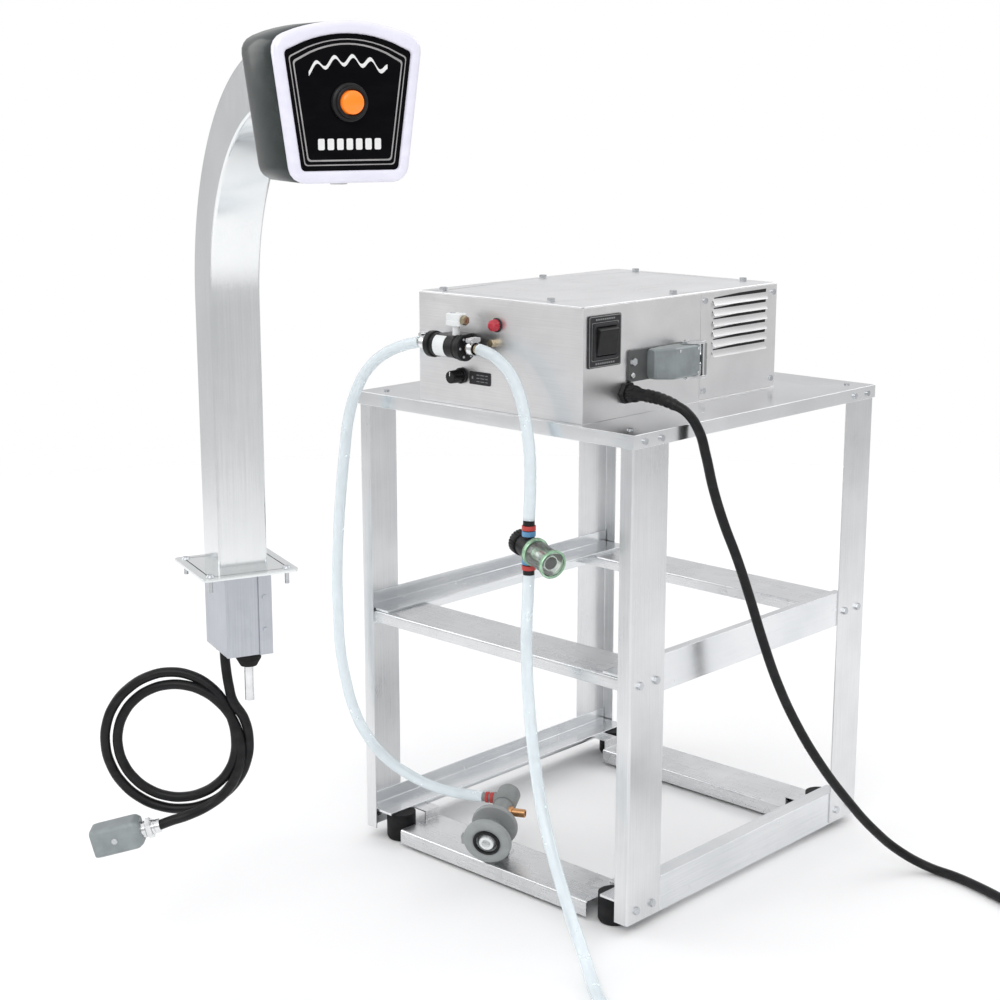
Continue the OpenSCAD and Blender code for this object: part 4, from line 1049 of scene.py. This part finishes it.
    def build(self) -> None:
        """Makes every cord."""
        Cord("hose_inlet", self.hose_d, Finish.HOSE, ("inlet_hose",), self.inlet[0], "object", "medium",
             "hanging").lay_out(self.inlet)
        Cord("hose_outlet_upper", self.hose_d, Finish.HOSE, ("outlet_hose_upper",), self.outlet_upper[0],
             "object", "medium", "hanging").lay_out(smooth_route(self.outlet_upper, 17))
        ends = [self.hose_fitting(), self.tie("hose_coil_tie", self.hose_coil, 40.0)]
        Cord("hose_outlet_lower", self.hose_d, Finish.HOSE, ("outlet_hose_lower", "outlet_hose_coil"),
             self.outlet_lower[0], "fitting", "medium", "coiled").lay_out(
                 [*self.outlet_lower, *self.coil_end(self.hose_coil, self.nut_rise)], ends)
        ends = [self.mains_plug(), self.tie("cord_coil_tie", self.cord_coil, 60.0)]
        Cord("mains_cord", self.cord_d, Finish.CORD, ("power_cord", "power_cord_coil"), self.mains[0],
             "plug", "medium", "coiled").lay_out([*self.mains, *self.coil_end(self.cord_coil)], ends)
        Cord("tower_cord", self.cable_d, Finish.CORD, ("tower_cable", "tower_cable_coil"), self.cable_top[0],
             "plug", "medium", "hanging").lay_out([*self.cable_top, *self.cable_turns(), *self.cable_end],
                                          [self.cable_hood()])


# ---- Outlines, in millimetres ----


def rounded_rect(width: float, height: float, radius: float, steps: int = 5) -> list[tuple[float, float]]:
    """A centred rectangle with round corners, anticlockwise.

    Args:
        width: Its width.
        height: Its height.
        radius: Its corners' radius.
        steps: Sides to each corner.

    Returns:
        Its points.
    """
    spots = []
    for k, (sx, sy) in enumerate(((1, -1), (1, 1), (-1, 1), (-1, -1))):
        for i in range(steps + 1):
            a = math.radians(90 * (k - 1) + 90 * i / steps)
            spots.append((sx * (width / 2 - radius) + radius * math.cos(a),
                          sy * (height / 2 - radius) + radius * math.sin(a)))
    return spots


def shifted(outline: Sequence[Point], dx: float, dy: float) -> list[tuple[float, float]]:
    """An outline, moved."""
    return [(x + dx, y + dy) for x, y in outline]


def hexagon(across: float) -> list[tuple[float, float]]:
    """A hexagon of that width across its flats."""
    r = across / math.sqrt(3)
    return [(r * math.cos(TAU * k / 6), r * math.sin(TAU * k / 6)) for k in range(6)]


def hexagon_ring(across: float, height: float) -> list[Point]:
    """A hexagon at a height."""
    return [(x, y, height) for x, y in hexagon(across)]


def ribbed(radius: float, depth: float, ribs: int, share: float = 0.5) -> list[tuple[float, float]]:
    """A round outline with raised ribs.

    Args:
        radius: The radius over the ribs.
        depth: How deep the grooves are.
        ribs: The number of ribs.
        share: How much of the pitch a rib takes.

    Returns:
        Its points.
    """
    spots = []
    for k in range(ribs):
        for at, r in ((0.0, radius), (share, radius), (share + 0.12, radius - depth), (0.88, radius - depth)):
            a = TAU * (k + at) / ribs
            spots.append((r * math.cos(a), r * math.sin(a)))
    return spots


def round_corners(corners: Sequence[Point], radius: float, steps: int = 5) -> list[tuple[float, float]]:
    """A closed outline with every corner rounded.

    Args:
        corners: Its corners in order.
        radius: The radius at each corner.
        steps: Points to each corner.

    Returns:
        Its points.
    """
    spots, count = [], len(corners)
    for i in range(count):
        p, q, r = (Vector(corners[(i + k) % count][:2]) for k in (-1, 0, 1))
        a, b = (q - p).normalized(), (r - q).normalized()
        turn = math.acos(max(-1.0, min(1.0, a.dot(b))))
        side = 1 if a.x * b.y - a.y * b.x > 0 else -1
        n = Vector((-a.y, a.x))
        centre = q - a * radius * math.tan(turn / 2) + n * side * radius
        start = math.atan2(n.y, n.x)
        for k in range(steps):
            w = start + side * turn * k / (steps - 1)
            spots.append((centre.x - side * radius * math.cos(w), centre.y - side * radius * math.sin(w)))
    return spots


# ---- Sub-assemblies ----


def dress(node: str, finish: Finish, bevel: float = 0.0, segments: int = 2) -> None:
    """Gives a CAD node its finish and, for sheet metal, slightly rounded edges.

    Args:
        node: The node's name.
        finish: Its finish.
        bevel: The width of its rounded edges, or 0 to leave them.
        segments: Facets across an edge.
    """
    thing = frame["nodes"][node]
    thing.data.materials.clear()
    thing.data.materials.append(finish.material)
    if bevel:
        thing.modifiers.new("weld", "WELD").merge_threshold = WELD_GAP
        soften(thing, bevel, segments, SHEET_SHARP_DEG)
    LOG.info("node %s dressed as %s", node, finish.value.name)


CASE = Matrix.Translation((-0.0295, 0.203, 0.5615)) @ Matrix.Scale(MM, 4)
TOWER = (Matrix.Translation((-0.083, -0.304, 0.441)) @ Matrix.Rotation(math.radians(70), 4, "Z")
         @ Matrix.Scale(MM, 4))


def on_front(x: float, z: float) -> Matrix:
    """A place on the case's front wall, local Z pointing out."""
    return CASE @ moved(x, -176.0, z) @ spun(x=90)


def on_right(y: float, z: float) -> Matrix:
    """A place on the case's right wall, local X along +Y and local Z pointing out."""
    return CASE @ moved(123.5, y, z) @ spun(x=90, z=90)


@dataclass
class TowerHead:
    """The head: shell, pale ring, face with its border and marks, guard and lit button.

    Sizes are in millimetres, in the tower's own place.
    """

    width: float = 130.0
    height: float = 128.0
    taper: float = 15.0
    arch: float = 14.0
    ring_w: float = 10.0
    back: float = 241.0
    face: float = 329.0
    ring_t: float = 9.0
    centre_z: float = 459.0
    lens_r: float = 9.5

    def outline(self, inset: float) -> list[tuple[float, float]]:
        """The head's outline, stepped in by an inset.

        Args:
            inset: How far inside the full outline it lies.

        Returns:
            Its points.
        """
        w, h = self.width / 2 - inset, self.height / 2 - inset
        t = self.taper * (1 - 2 * inset / self.height)
        corners = [(-w + t, -h), (w - t, -h)]
        shares = (1.0, 0.70, 0.56, 0.42, 0.28, 0.14, 0.0, -0.14, -0.28, -0.42, -0.56, -0.70, -1.0)
        corners += [(w * share, h - self.arch * share**2) for share in shares]
        return round_corners(corners, max(14.0 - inset, 3.0))

    def ring(self, inset: float, height: float) -> list[Point]:
        """The outline at a height."""
        return [(x, y, height) for x, y in self.outline(inset)]

    def place(self, height: float = 0.0) -> Matrix:
        """The head's frame, local Z pointing out of its face, at a height."""
        return TOWER @ moved(0, 0, self.centre_z) @ spun(x=90) @ moved(0, 0, height)

    def shell(self) -> None:
        """The dark shell, rounded at its back, with a groove before the ring."""
        b, f = self.back, self.face - self.ring_t
        steps = ((14, b), (9, b + 0.7), (5, b + 2.2), (2.2, b + 4.6), (0.6, b + 8), (0, b + 13),
                 (0, f - 1.2), (0.8, f - 0.4), (2.0, f - 0.2))
        form = Form().at(self.place()).rings([self.ring(i, z) for i, z in steps])
        form.piece("head_cover", Finish.SHELL, replaces=["head_shell"], angle=50)

    def rim(self) -> None:
        """The pale ring round the face."""
        f, w = self.face, self.ring_w
        steps = ((1.4, f - 9), (0.2, f - 8.4), (0, f - 6), (0, f - 3.4), (0.7, f - 1.6), (2.2, f - 0.4),
                 (4.0, f), (w - 2.6, f), (w - 0.9, f - 0.4), (w, f - 1.6), (w, f - 8))
        form = Form().at(self.place()).rings([self.ring(i, z) for i, z in steps], closed=True)
        form.piece("head_ring", Finish.RING, replaces=["head_bezel"], angle=50)

    def front(self) -> None:
        """The glossy face, its two silver border lines and plain marks."""
        top, edge = self.face - 3.0, self.ring_w + 0.1
        under, over = top - 0.2, top + 0.12
        form = Form().at(self.place()).rings([self.ring(edge, top - 3.9), self.ring(edge, top)])
        form.tint = 1
        for inset, wide in ((edge + 4.0, 0.9), (edge + 7.4, 1.3)):
            form.rings([self.ring(inset, under), self.ring(inset, over), self.ring(inset + wide, over),
                        self.ring(inset + wide, under)], closed=True)
        form.tint = 2
        line = [(x, 33.0 - x * x / 150 + 3.4 * math.sin(0.40 * x), 0.9 + 1.1 * math.cos(0.20 * x) ** 2)
                for x in range(-34, 35)]
        form.prism([(x, y - t) for x, y, t in line] + [(x, y + t) for x, y, t in reversed(line)], under, over)
        for x in range(-3, 4):
            form.prism(shifted(rounded_rect(5.6, 9.0, 1.2, 3), x * 8.2, -33.0), under, over)
        form.piece("head_front", Finish.FACE, Finish.BORDER, Finish.MARK, replaces=["face_plate"])

    def button(self) -> None:
        """The dark guard and the orange button in it."""
        form = Form().at(self.place(self.face - 3.0))
        form.lathe([(10.3, -10), (10.1, 6.2), (10.6, 7.0), (12.0, 7.2), (12.8, 6.8), (13.2, 5.6), (13.4, 4.4),
                    (14.6, 4.0), (15.4, 3.2), (15.5, 0.1), (12.0, 0.0), (12.0, -10)], 64, True)
        form.piece("guard_ring", Finish.BLACK, replaces=["button_guard"])
        r = self.lens_r
        form = Form().at(self.place(self.face - 3.0))
        form.lathe([(r - 0.2, -8.0), (r - 0.1, 9.0), (r - 0.5, 9.8), (r - 1.4, 10.3), (6.0, 11.1),
                    (3.0, 11.4), (0.05, 11.5)], 64)
        form.tint = 1
        form.lathe([(2.5, -14), (2.5, -7.9)], 24)
        form.piece("button_lens", Finish.LENS, Finish.BLACK, body="button", replaces=["dispense_button"],
                   angle=50)

    def build(self) -> None:
        """Makes the head."""
        for step in (self.shell, self.rim, self.front, self.button):
            step()


@dataclass
class PumpLooks:
    """The pump body with its label, and the white valve with its brass nut."""

    x: float = -52.0
    y: float = -200.0
    z: float = 71.0
    r: float = 12.9
    half: float = 28.0

    def body(self) -> None:
        """The dark round body, end rings with screws, and the block that meets the case."""
        here = CASE @ moved(self.x, self.y, self.z)
        h, form = self.half, Form().at(here @ spun(y=90))
        half = [(4.4, h), (13.4, h), (14.8, h - 0.6), (15.0, h - 1.6), (15.0, h - 6.6), (14.6, h - 7.6),
                (13.0, h - 8.0), (12.9, h - 12.0), (13.6, h - 12.4), (13.6, h - 14.0), (12.9, h - 14.4)]
        form.lathe([(r, -z) for r, z in half] + [(r, z) for r, z in reversed(half)], 64)
        for end in (-1, 1):
            for k in range(6):
                form.tint = 2
                a = TAU * (k + 0.5) / 6
                form.at(here @ spun(y=90 * end) @ moved(11.0 * math.cos(a), 11.0 * math.sin(a), h - 0.2))
                form.lathe([(1.5, 0), (1.5, 1.0), (1.1, 1.3), (0.6, 1.3), (0.6, 0.5), (0.05, 0.5)], 18)
        form.tint = 0
        form.at(here).block((-14, 2, -13), (14, 24, 13))
        form.tint = 1
        rings = []
        for x in (-15.5, -15.0, 2.5, 3.0):
            lift = 0.05 if x in (-15.5, 3.0) else 0.25
            rings.append([(x, -(self.r + lift) * math.cos(a), (self.r + lift) * math.sin(a))
                          for a in (math.radians(-62 + 4 * k) for k in range(32))])
        form.rings([[*ring, (ring[0][0], -8, 5), (ring[0][0], -8, -5)] for ring in rings])
        form.piece("pump_body", Finish.BLACK, Finish.WHITE, Finish.SCREW, replaces=["pump_housing"],
                   bevel=0.0002, angle=40)

    def valve(self) -> None:
        """The white pressure valve over the pump."""
        form = Form().at(CASE @ moved(self.x + 11.5, self.y, self.z + 23))
        form.stepped([(w, d, 2.5, z) for w, d, z in (
            (19.5, 12.6, 0), (21, 14, 0.8), (21, 14, 5.8), (20, 13.2, 6.2), (20, 13.2, 7.2), (21, 14, 7.6),
            (21, 14, 13.2), (19.5, 12.6, 14))])
        form.lathe([(4.4, -10.3), (4.4, 0.2)], 32)
        form.tint = 1
        form.at(form.place @ moved(-5.5, 0, 14))
        form.lathe([(3.4, -0.2), (3.4, 0.6), (2.9, 0.9), (0.8, 0.9), (0.8, 0.2), (0.05, 0.2)], 24)
        form.at(CASE @ moved(self.x + 22, self.y, self.z + 30) @ spun(y=90))
        form.tint = 2
        form.rings([hexagon_ring(9.6, -0.4), hexagon_ring(9.6, 4.8), hexagon_ring(8.8, 5.4)])
        form.lathe([(3.6, 5.0), (3.6, 6.0), (2.0, 6.0), (2.0, 5.2), (0.05, 5.2)], 24)
        form.piece("valve_block", Finish.WHITE, Finish.SCREW, Finish.BRASS, replaces=["pressure_valve"],
                   bevel=0.0003, angle=40)

    def build(self) -> None:
        """Makes the pump's pieces."""
        self.body()
        self.valve()


@dataclass
class CaseControls:
    """The knob, lamp, label, rocker frame, gland, socket and lever on the case."""

    knob_at: tuple[float, float] = (-55.5, 34.5)
    lamp_at: tuple[float, float] = (-1.5, 96.0)
    label_at: tuple[float, float] = (-27.0, 34.0)
    rocker_at: tuple[float, float] = (-142.0, 87.0)
    gland_at: tuple[float, float] = (-104.5, 26.5)
    socket_at: tuple[float, float] = (-39.0, 55.0)
    mouth_z: float = 15.0
    relief_long: float = 0.042
    relief_rib: float = 0.0035
    louvre_pitch: float = 11.8

    def knob(self) -> None:
        """The ribbed knob with its pointer line."""
        form = Form().at(on_front(*self.knob_at))
        form.lathe([(8.4, 1.0), (9.0, 1.4), (9.0, 3.4), (8.4, 4.0)], 48)
        form.scaled(ribbed(7.5, 0.55, 18), ((0.98, 3.8), (1.0, 4.4), (0.96, 18.4), (0.9, 19.4), (0.78, 19.9)))
        form.lathe([(3.0, -12.0), (3.0, 2.0)], 24)
        form.tint = 1
        form.block((-0.5, 1.2, 19.6), (0.5, 6.4, 20.0))
        form.piece("knob_cap", Finish.BLACK, Finish.MARK, body="knob", replaces=["control_knob"],
                   bevel=0.0001)

    def lamp(self) -> None:
        """The fluted red lamp and its dark seat."""
        form = Form().at(on_front(*self.lamp_at))
        form.scaled(ribbed(6.7, 0.45, 16, 0.45),
                    ((1.0, 1.2), (1.0, 5.6), (0.93, 7.8), (0.78, 9.4), (0.52, 10.6), (0.2, 11.1)))
        form.tint = 1
        form.lathe([(8.0, 0.0), (8.0, 1.0), (7.4, 1.6), (6.4, 1.6)], 48)
        form.lathe([(6.0, -16.0), (6.0, 0.4)], 32)
        form.piece("lamp_dome", Finish.LAMP, Finish.SATIN, replaces=["signal_lamp"], angle=50)

    def label(self) -> None:
        """The dark label plate with plain marks."""
        form = Form().at(on_front(*self.label_at)).prism(rounded_rect(32, 14.5, 1.4), 0.0, 1.0)
        form.tint = 1
        form.prism(shifted(rounded_rect(2.2, 3.4, 0.6, 2), -11.0, 0.4), 0.9, 1.12)
        for row in (-1, 0, 1):
            for x, wide in ((-2.5, 4.6), (4.2, 6.0), (10.6, 3.6)):
                form.prism(shifted(rounded_rect(wide, 0.7, 0.2, 2), x, 3.6 * row), 0.9, 1.1)
        form.piece("label", Finish.SATIN, Finish.MID_GREY, replaces=["label_plate"])

    def rocker_seat(self) -> None:
        """The stepped plate round the rocker."""
        form = Form().at(on_right(*self.rocker_at))
        form.stepped(((54, 56, 2, 0.0), (54, 56, 2, 1.5), (53.2, 55.2, 2, 2.0), (41.6, 38.6, 1.5, 2.0),
                      (40.8, 37.8, 1.5, 3.6), (40, 37, 1.4, 4.0), (33.4, 32.4, 0.8, 4.0),
                      (32.7, 31.7, 0.6, 3.2), (32.7, 31.7, 0.6, -20)))
        form.tint = 1
        for w, h, wide in ((52.4, 54.4, 0.8), (44.0, 41.0, 0.5)):
            form.rings([[(x, y, z) for x, y in rounded_rect(w - g, h - g, 1.6)]
                        for g, z in ((0, 1.9), (0, 2.12), (2 * wide, 2.12), (2 * wide, 1.9))], closed=True)
        for y in (-23.6, 23.6):
            for x in range(-4, 5):
                form.prism(shifted(rounded_rect(2.4, 1.7, 0.3, 2), x * 3.6, y), 1.9, 2.1)
        form.piece("rocker_seat", Finish.SATIN, Finish.MID_GREY, replaces=["rocker_frame"])

    def gland(self) -> None:
        """The cord's gland: hex base, fluted nut and tapered collar."""
        form = Form().at(on_right(*self.gland_at))
        form.rings([hexagon_ring(*step) for step in ((20.8, 0.0), (22.0, 0.7), (22.0, 5.4), (21.0, 6.0))])
        form.scaled(ribbed(9.5, 0.5, 16, 0.6),
                    ((0.98, 5.8), (1.0, 6.6), (1.0, 13.6), (0.95, 16.0), (0.84, 18.6), (0.76, 20.0)))
        form.lathe([(7.6, 19.4), (7.0, 21.0), (6.5, 29.8)], 32)
        form.piece("gland_nut", Finish.BLACK, replaces=["cord_gland"], bevel=0.0003, angle=40)

    def socket(self) -> None:
        """The cable socket: dark flange, pale bevelled hood and silver mouth."""
        seat = on_right(*self.socket_at)
        form = Form().at(seat)
        form.rings([[(x - 12.5, y, z) for x, y in rounded_rect(w, h, 3)]
                    for w, h, z in ((101, 35, 0), (101, 35, 2.4), (100, 34, 3.0))])
        form.tint = 1
        sections = ((-32, 13, 15.5), (-30.5, 15.5, 16.8), (-14, 27.2, 17.5), (-12, 28, 17.5), (29, 28, 17.5),
                    (31, 27.4, 17.1), (32, 26, 16.2))
        form.rings([[(x, -p, (2.9 + top) / 2 + q) for p, q in rounded_rect(2 * half, top - 2.9, 3.2)]
                    for x, top, half in sections])
        form.tint = 2
        form.at(seat @ moved(31.5, 0, self.mouth_z) @ spun(y=90))
        form.lathe([(6.0, 0.0), (8.4, 0.0), (8.4, 3.0), (9.0, 3.4), (9.0, 8.0), (8.5, 8.4), (8.5, 9.6),
                    (9.0, 10.0), (9.0, 17.6), (8.4, 18.4), (6.6, 18.4), (6.0, 17.8)], 48, True)
        screws = ((-58, -10, 3.0, 3.0), (-6, 13.4, 28, 1.6), (27, 13.4, 28, 1.6), (27, -13.4, 28, 1.6),
                  (33, 0, 3.0, 2.4))
        for x, y, z, r in screws:
            form.at(seat @ moved(x, y, z - 0.2))
            form.lathe([(r, 0), (r, 0.7 * r), (0.8 * r, 0.9 * r), (0.4 * r, 0.9 * r), (0.4 * r, 0.4 * r),
                        (0.05, 0.4 * r)], 24)
        for s in (-1, 1):
            form.at(seat @ moved(22, s * 17.0, self.mouth_z) @ spun(x=-90 * s))
            form.lathe([(3.0, 0.0), (3.0, 5.0), (2.4, 5.4), (0.05, 5.4)], 24)
        form.tint = 3
        form.at(seat @ moved(32.1, 0, self.mouth_z) @ spun(y=90)).lathe([(6.1, 0), (6.1, 0.3)], 32)
        form.piece("socket_hood", Finish.DARK_FLANGE, Finish.GREY_CAST, Finish.BRIGHT, Finish.BLACK,
                   replaces=["socket_housing"], bevel=0.0006, angle=14)

    def lever(self) -> None:
        """The locking lever: two bright plates, a bar and a grey grip."""
        pivot = CASE @ moved(123.5 + self.mouth_z, self.socket_at[0] + 22.0, self.socket_at[1])
        form = Form()
        for s in (-1, 1):
            form.at(pivot @ moved(0, 0, 19.3 * s))
            outline = round_corners([(-6, -6), (6, -6), (14, 9), (14, 20), (2, 20), (-6, 7)], 3.0)
            form.prism(outline, -1.4, 1.4)
        form.at(pivot).block((10.6, 12.6, -18.6), (13.8, 15.6, 18.6))
        form.tint = 1
        grip = ((4.2, 3.6, -18.4), (5.4, 4.6, -17.2), (5.4, 4.6, 17.2), (4.2, 3.6, 18.4))
        form.rings([[(11.6 + x, 18.0 + y, z) for x, y in rounded_rect(w, d, 1.8)] for w, d, z in grip])
        form.piece("lever_yoke", Finish.BRIGHT, Finish.MID_GREY, body="lever", replaces=["locking_lever"],
                   bevel=0.0004)

    def relief(self) -> None:
        """The ribbed, tapered strain relief on the mains cord, beyond the gland."""
        path = smooth_route(Cords.mains[:8], 120)
        spots, radii, run = [], [], 0.0
        for before, spot in zip(path, path[1:]):
            run += (spot - before).length
            if run > self.relief_long:
                break
            spots.append(before)
            rib = 0.0006 if int(run / self.relief_rib) % 2 == 0 else 0.0
            radii.append(0.0058 + 0.0010 * (1 - run / self.relief_long) + rib)
        form = Form().tube(spots, radii, 24)
        form.piece("cord_relief", Finish.BLACK, slot=slot_of("power_cord"), angle=60)

    def louvre_shades(self) -> None:
        """Painted shade: thin black wedges laid on the right wall over the six louvres, standing for the shade
        in their slots.
        """
        form = Form().at(on_right(102.3, 56.0))
        for k in range(6):
            z = self.louvre_pitch * k
            # painted shade: each black wedge stands for the shade in one louvre slot, not an opening
            shade_wedge = [(-50, z + 0.9), (51, z + 0.9), (51.5, z + 4.8), (0, z + 4.4), (-50, z + 2.2)]
            form.prism(shade_wedge, 0.0, 0.25)
        form.piece("louvre_painted_shade", Finish.BLACK, slot=slot_of("vent_panel"))

    def build(self) -> None:
        """Makes the controls."""
        for step in (self.knob, self.lamp, self.label, self.rocker_seat, self.gland, self.socket, self.lever,
                     self.relief, self.louvre_shades):
            step()


@dataclass
class StrainerLooks:
    """The in-line strainer: knurled cap, ports with blue sleeves, clear bowl and rims."""

    centre: Point = (0.055, -0.014, 0.428)
    turn: float = 73.0
    tilt: float = 99.0

    def build(self) -> None:
        """Makes the head and the bowl."""
        upright = moved(*self.centre) @ Matrix.Scale(MM, 4)
        axis = moved(*self.centre) @ spun(x=self.tilt, z=self.turn) @ Matrix.Scale(MM, 4)
        form = Form().at(axis)
        form.scaled(ribbed(14.0, 0.9, 24),
                    ((0.84, -22.0), (0.95, -21.4), (1.0, -20.2), (1.0, -11.2), (0.96, -10.2)))
        form.lathe([(11.0, -10.6), (12.0, -10.0), (12.0, 5.0), (13.4, 6.0), (13.8, 7.0), (13.8, 10.4),
                    (12.8, 11.2)], 48)
        for s in (-1, 1):
            form.at(upright @ spun(x=90 - 90 * s))
            form.lathe([(6.4, 9.0), (6.4, 30.0)], 40)
            form.tint = 1
            form.lathe([(6.6, 12.6), (7.6, 13.0), (7.6, 18.2), (6.6, 18.6)], 40)
            form.tint = 0
        form.piece("strainer_cap", Finish.BLACK, Finish.BLUE, replaces=["strainer_head"], angle=50)
        form = Form().at(axis)
        form.lathe([(12.6, 12.0), (13.9, 12.0), (13.9, 50.0), (13.0, 51.6), (11.0, 52.0), (0.05, 52.0),
                    (0.05, 50.8), (11.0, 50.8), (12.4, 50.0), (12.6, 48.0)], 64, True)
        form.tint = 1
        for low, high in ((11.2, 16.0), (47.4, 51.6)):
            m = (low + high) / 2
            form.lathe([(13.9, low), (15.4, low), (16.0, low + 0.8), (16.0, high - 0.8), (15.4, high),
                        (13.9, high), (13.95, m)], 64, True)
        form.piece("strainer_glass", Finish.BOWL, Finish.BOWL_RIM, replaces=["strainer_bowl"], angle=40)


@dataclass
class ConnectorLooks:
    """The bag connector: grey body with its rear disc and elbow, and the sliding collar."""

    centre: Point = (-0.038, 0.018, 0.052)
    turn: float = 27.0
    tilt: float = 104.0

    def build(self) -> None:
        """Makes the body and the collar."""
        axis = moved(*self.centre) @ spun(x=self.tilt, z=self.turn) @ Matrix.Scale(MM, 4)
        form = Form().at(axis)
        form.lathe([(11.8, -86.0), (11.8, -4.0), (11.0, -3.4), (9.0, -3.2), (9.0, -5.0)], 48)
        form.lathe([(12.0, -98.0), (13.4, -97.4), (14.0, -96.0), (14.0, -72.0), (13.2, -70.6),
                    (11.8, -70.2)], 48)
        form.tint = 1
        form.lathe([(12.0, -36.0), (26.8, -35.0), (27.8, -34.0), (28.0, -32.0), (27.8, -30.0), (26.8, -29.0),
                    (12.0, -28.4)], 72)
        form.tint = 2
        form.lathe([(8.6, -5.0), (9.0, 4.8), (8.4, 5.8), (5.4, 6.0), (5.0, 5.0), (5.0, -1.0), (0.05, -1.0)], 40)
        form.tint = 0
        form.at(axis @ moved(0, 0, -84) @ spun(y=-90))
        form.lathe([(7.4, 12.0), (7.4, 15.0), (5.6, 15.6), (5.4, 30.0), (4.6, 30.2)], 32)
        form.tint = 3
        form.at(axis @ moved(0, 0, -60) @ spun(y=90))
        form.lathe([(6.8, 10.0), (6.8, 14.0), (5.0, 14.4), (5.0, 29.4), (4.2, 30.0), (3.4, 30.0), (3.4, 24.0),
                    (0.05, 24.0)], 32)
        form.piece("connector_shell", Finish.MID_GREY, Finish.SATIN_GREY, Finish.WHITE, Finish.COPPER,
                   replaces=["bag_connector_body"], angle=40)
        form = Form().at(axis)
        form.lathe([(12.1, -12.0), (16.4, -12.0), (17.0, -11.2), (17.0, -4.4), (27.0, -4.2), (28.4, -3.4),
                    (29.0, -2.0), (29.0, 2.0), (28.4, 3.3), (27.2, 4.0), (18.0, 4.2), (17.0, 3.4), (12.6, 3.4),
                    (12.1, 2.6)], 72, True)
        form.at(axis @ moved(-29.0, 0, 0)).block((-2, -5.6, -3.4), (4, 5.6, 3.4))
        form.tint = 1
        form.at(axis)
        form.lathe([(12.6, 3.2), (16.4, 3.2), (16.2, 5.4), (15.4, 6.0), (13.2, 6.0), (12.7, 5.4)], 56, True)
        form.piece("collar_disc", Finish.PALE_GREY, Finish.BLACK, body="collar",
                   replaces=["bag_connector_collar"], angle=40)


@dataclass(frozen=True)
class CarriedOver:
    """The CAD nodes whose own shape stays, with their finishes and edge widths."""

    finishes: tuple[tuple[str, Finish, float], ...] = (
        ("posts", Finish.POST, 0.0004), ("side_rails", Finish.RAIL, 0.0004), ("cross_ties", Finish.TIE, 0.0004),
        ("top_panel", Finish.TOP, 0.0005), ("rubber_feet", Finish.RUBBER, 0.0008),
        ("rack_bolts", Finish.SCREW, 0.0004), ("case_chassis", Finish.CASE, 0.0005),
        ("case_lid", Finish.LID, 0.0005), ("vent_panel", Finish.CASE, 0.0003),
        ("case_screws", Finish.SCREW, 0.0004), ("power_rocker", Finish.BLACK, 0.0008),
        ("drive_gear", Finish.BRIGHT, 0.0), ("idler_gear", Finish.BRIGHT, 0.0),
        ("hose_barbs", Finish.BRASS, 0.0002), ("worm_clamps", Finish.BRIGHT, 0.0002),
        ("drive_motor", Finish.MOTOR, 0.0008), ("fan_frame", Finish.SATIN, 0.0006),
        ("fan_rotor", Finish.SATIN, 0.0003), ("control_board", Finish.BOARD, 0.0003),
        ("connector_cradle", Finish.TIE, 0.0003), ("strainer_screen", Finish.BRIGHT, 0.0),
        ("pinch_clamps", Finish.RED, 0.0002), ("tower_flange", Finish.FLANGE, 0.0005),
        ("tower_tube", Finish.TOWER, 0.0), ("flange_screws", Finish.SCREW, 0.0003),
        ("service_box", Finish.ZINC, 0.0008), ("service_cover", Finish.ZINC, 0.0005),
        ("base_grommets", Finish.RUBBER, 0.0008), ("feed_line", Finish.BRIGHT, 0.0),
        ("spout", Finish.BRIGHT, 0.0004), ("button_switch", Finish.SATIN, 0.0005))

    def build(self) -> None:
        """Dresses every node."""
        for node, finish, bevel in self.finishes:
            dress(node, finish, bevel)


def main() -> None:
    """Builds the dispenser's looks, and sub-assembly by sub-assembly."""
    logging.basicConfig(level=logging.INFO, format="%(name)s: %(message)s")
    Studio().build()
    for assembly in (Cords, TowerHead, PumpLooks, CaseControls, StrainerLooks, ConnectorLooks, CarriedOver):
        assembly().build()


if __name__ == "__main__":
    main()
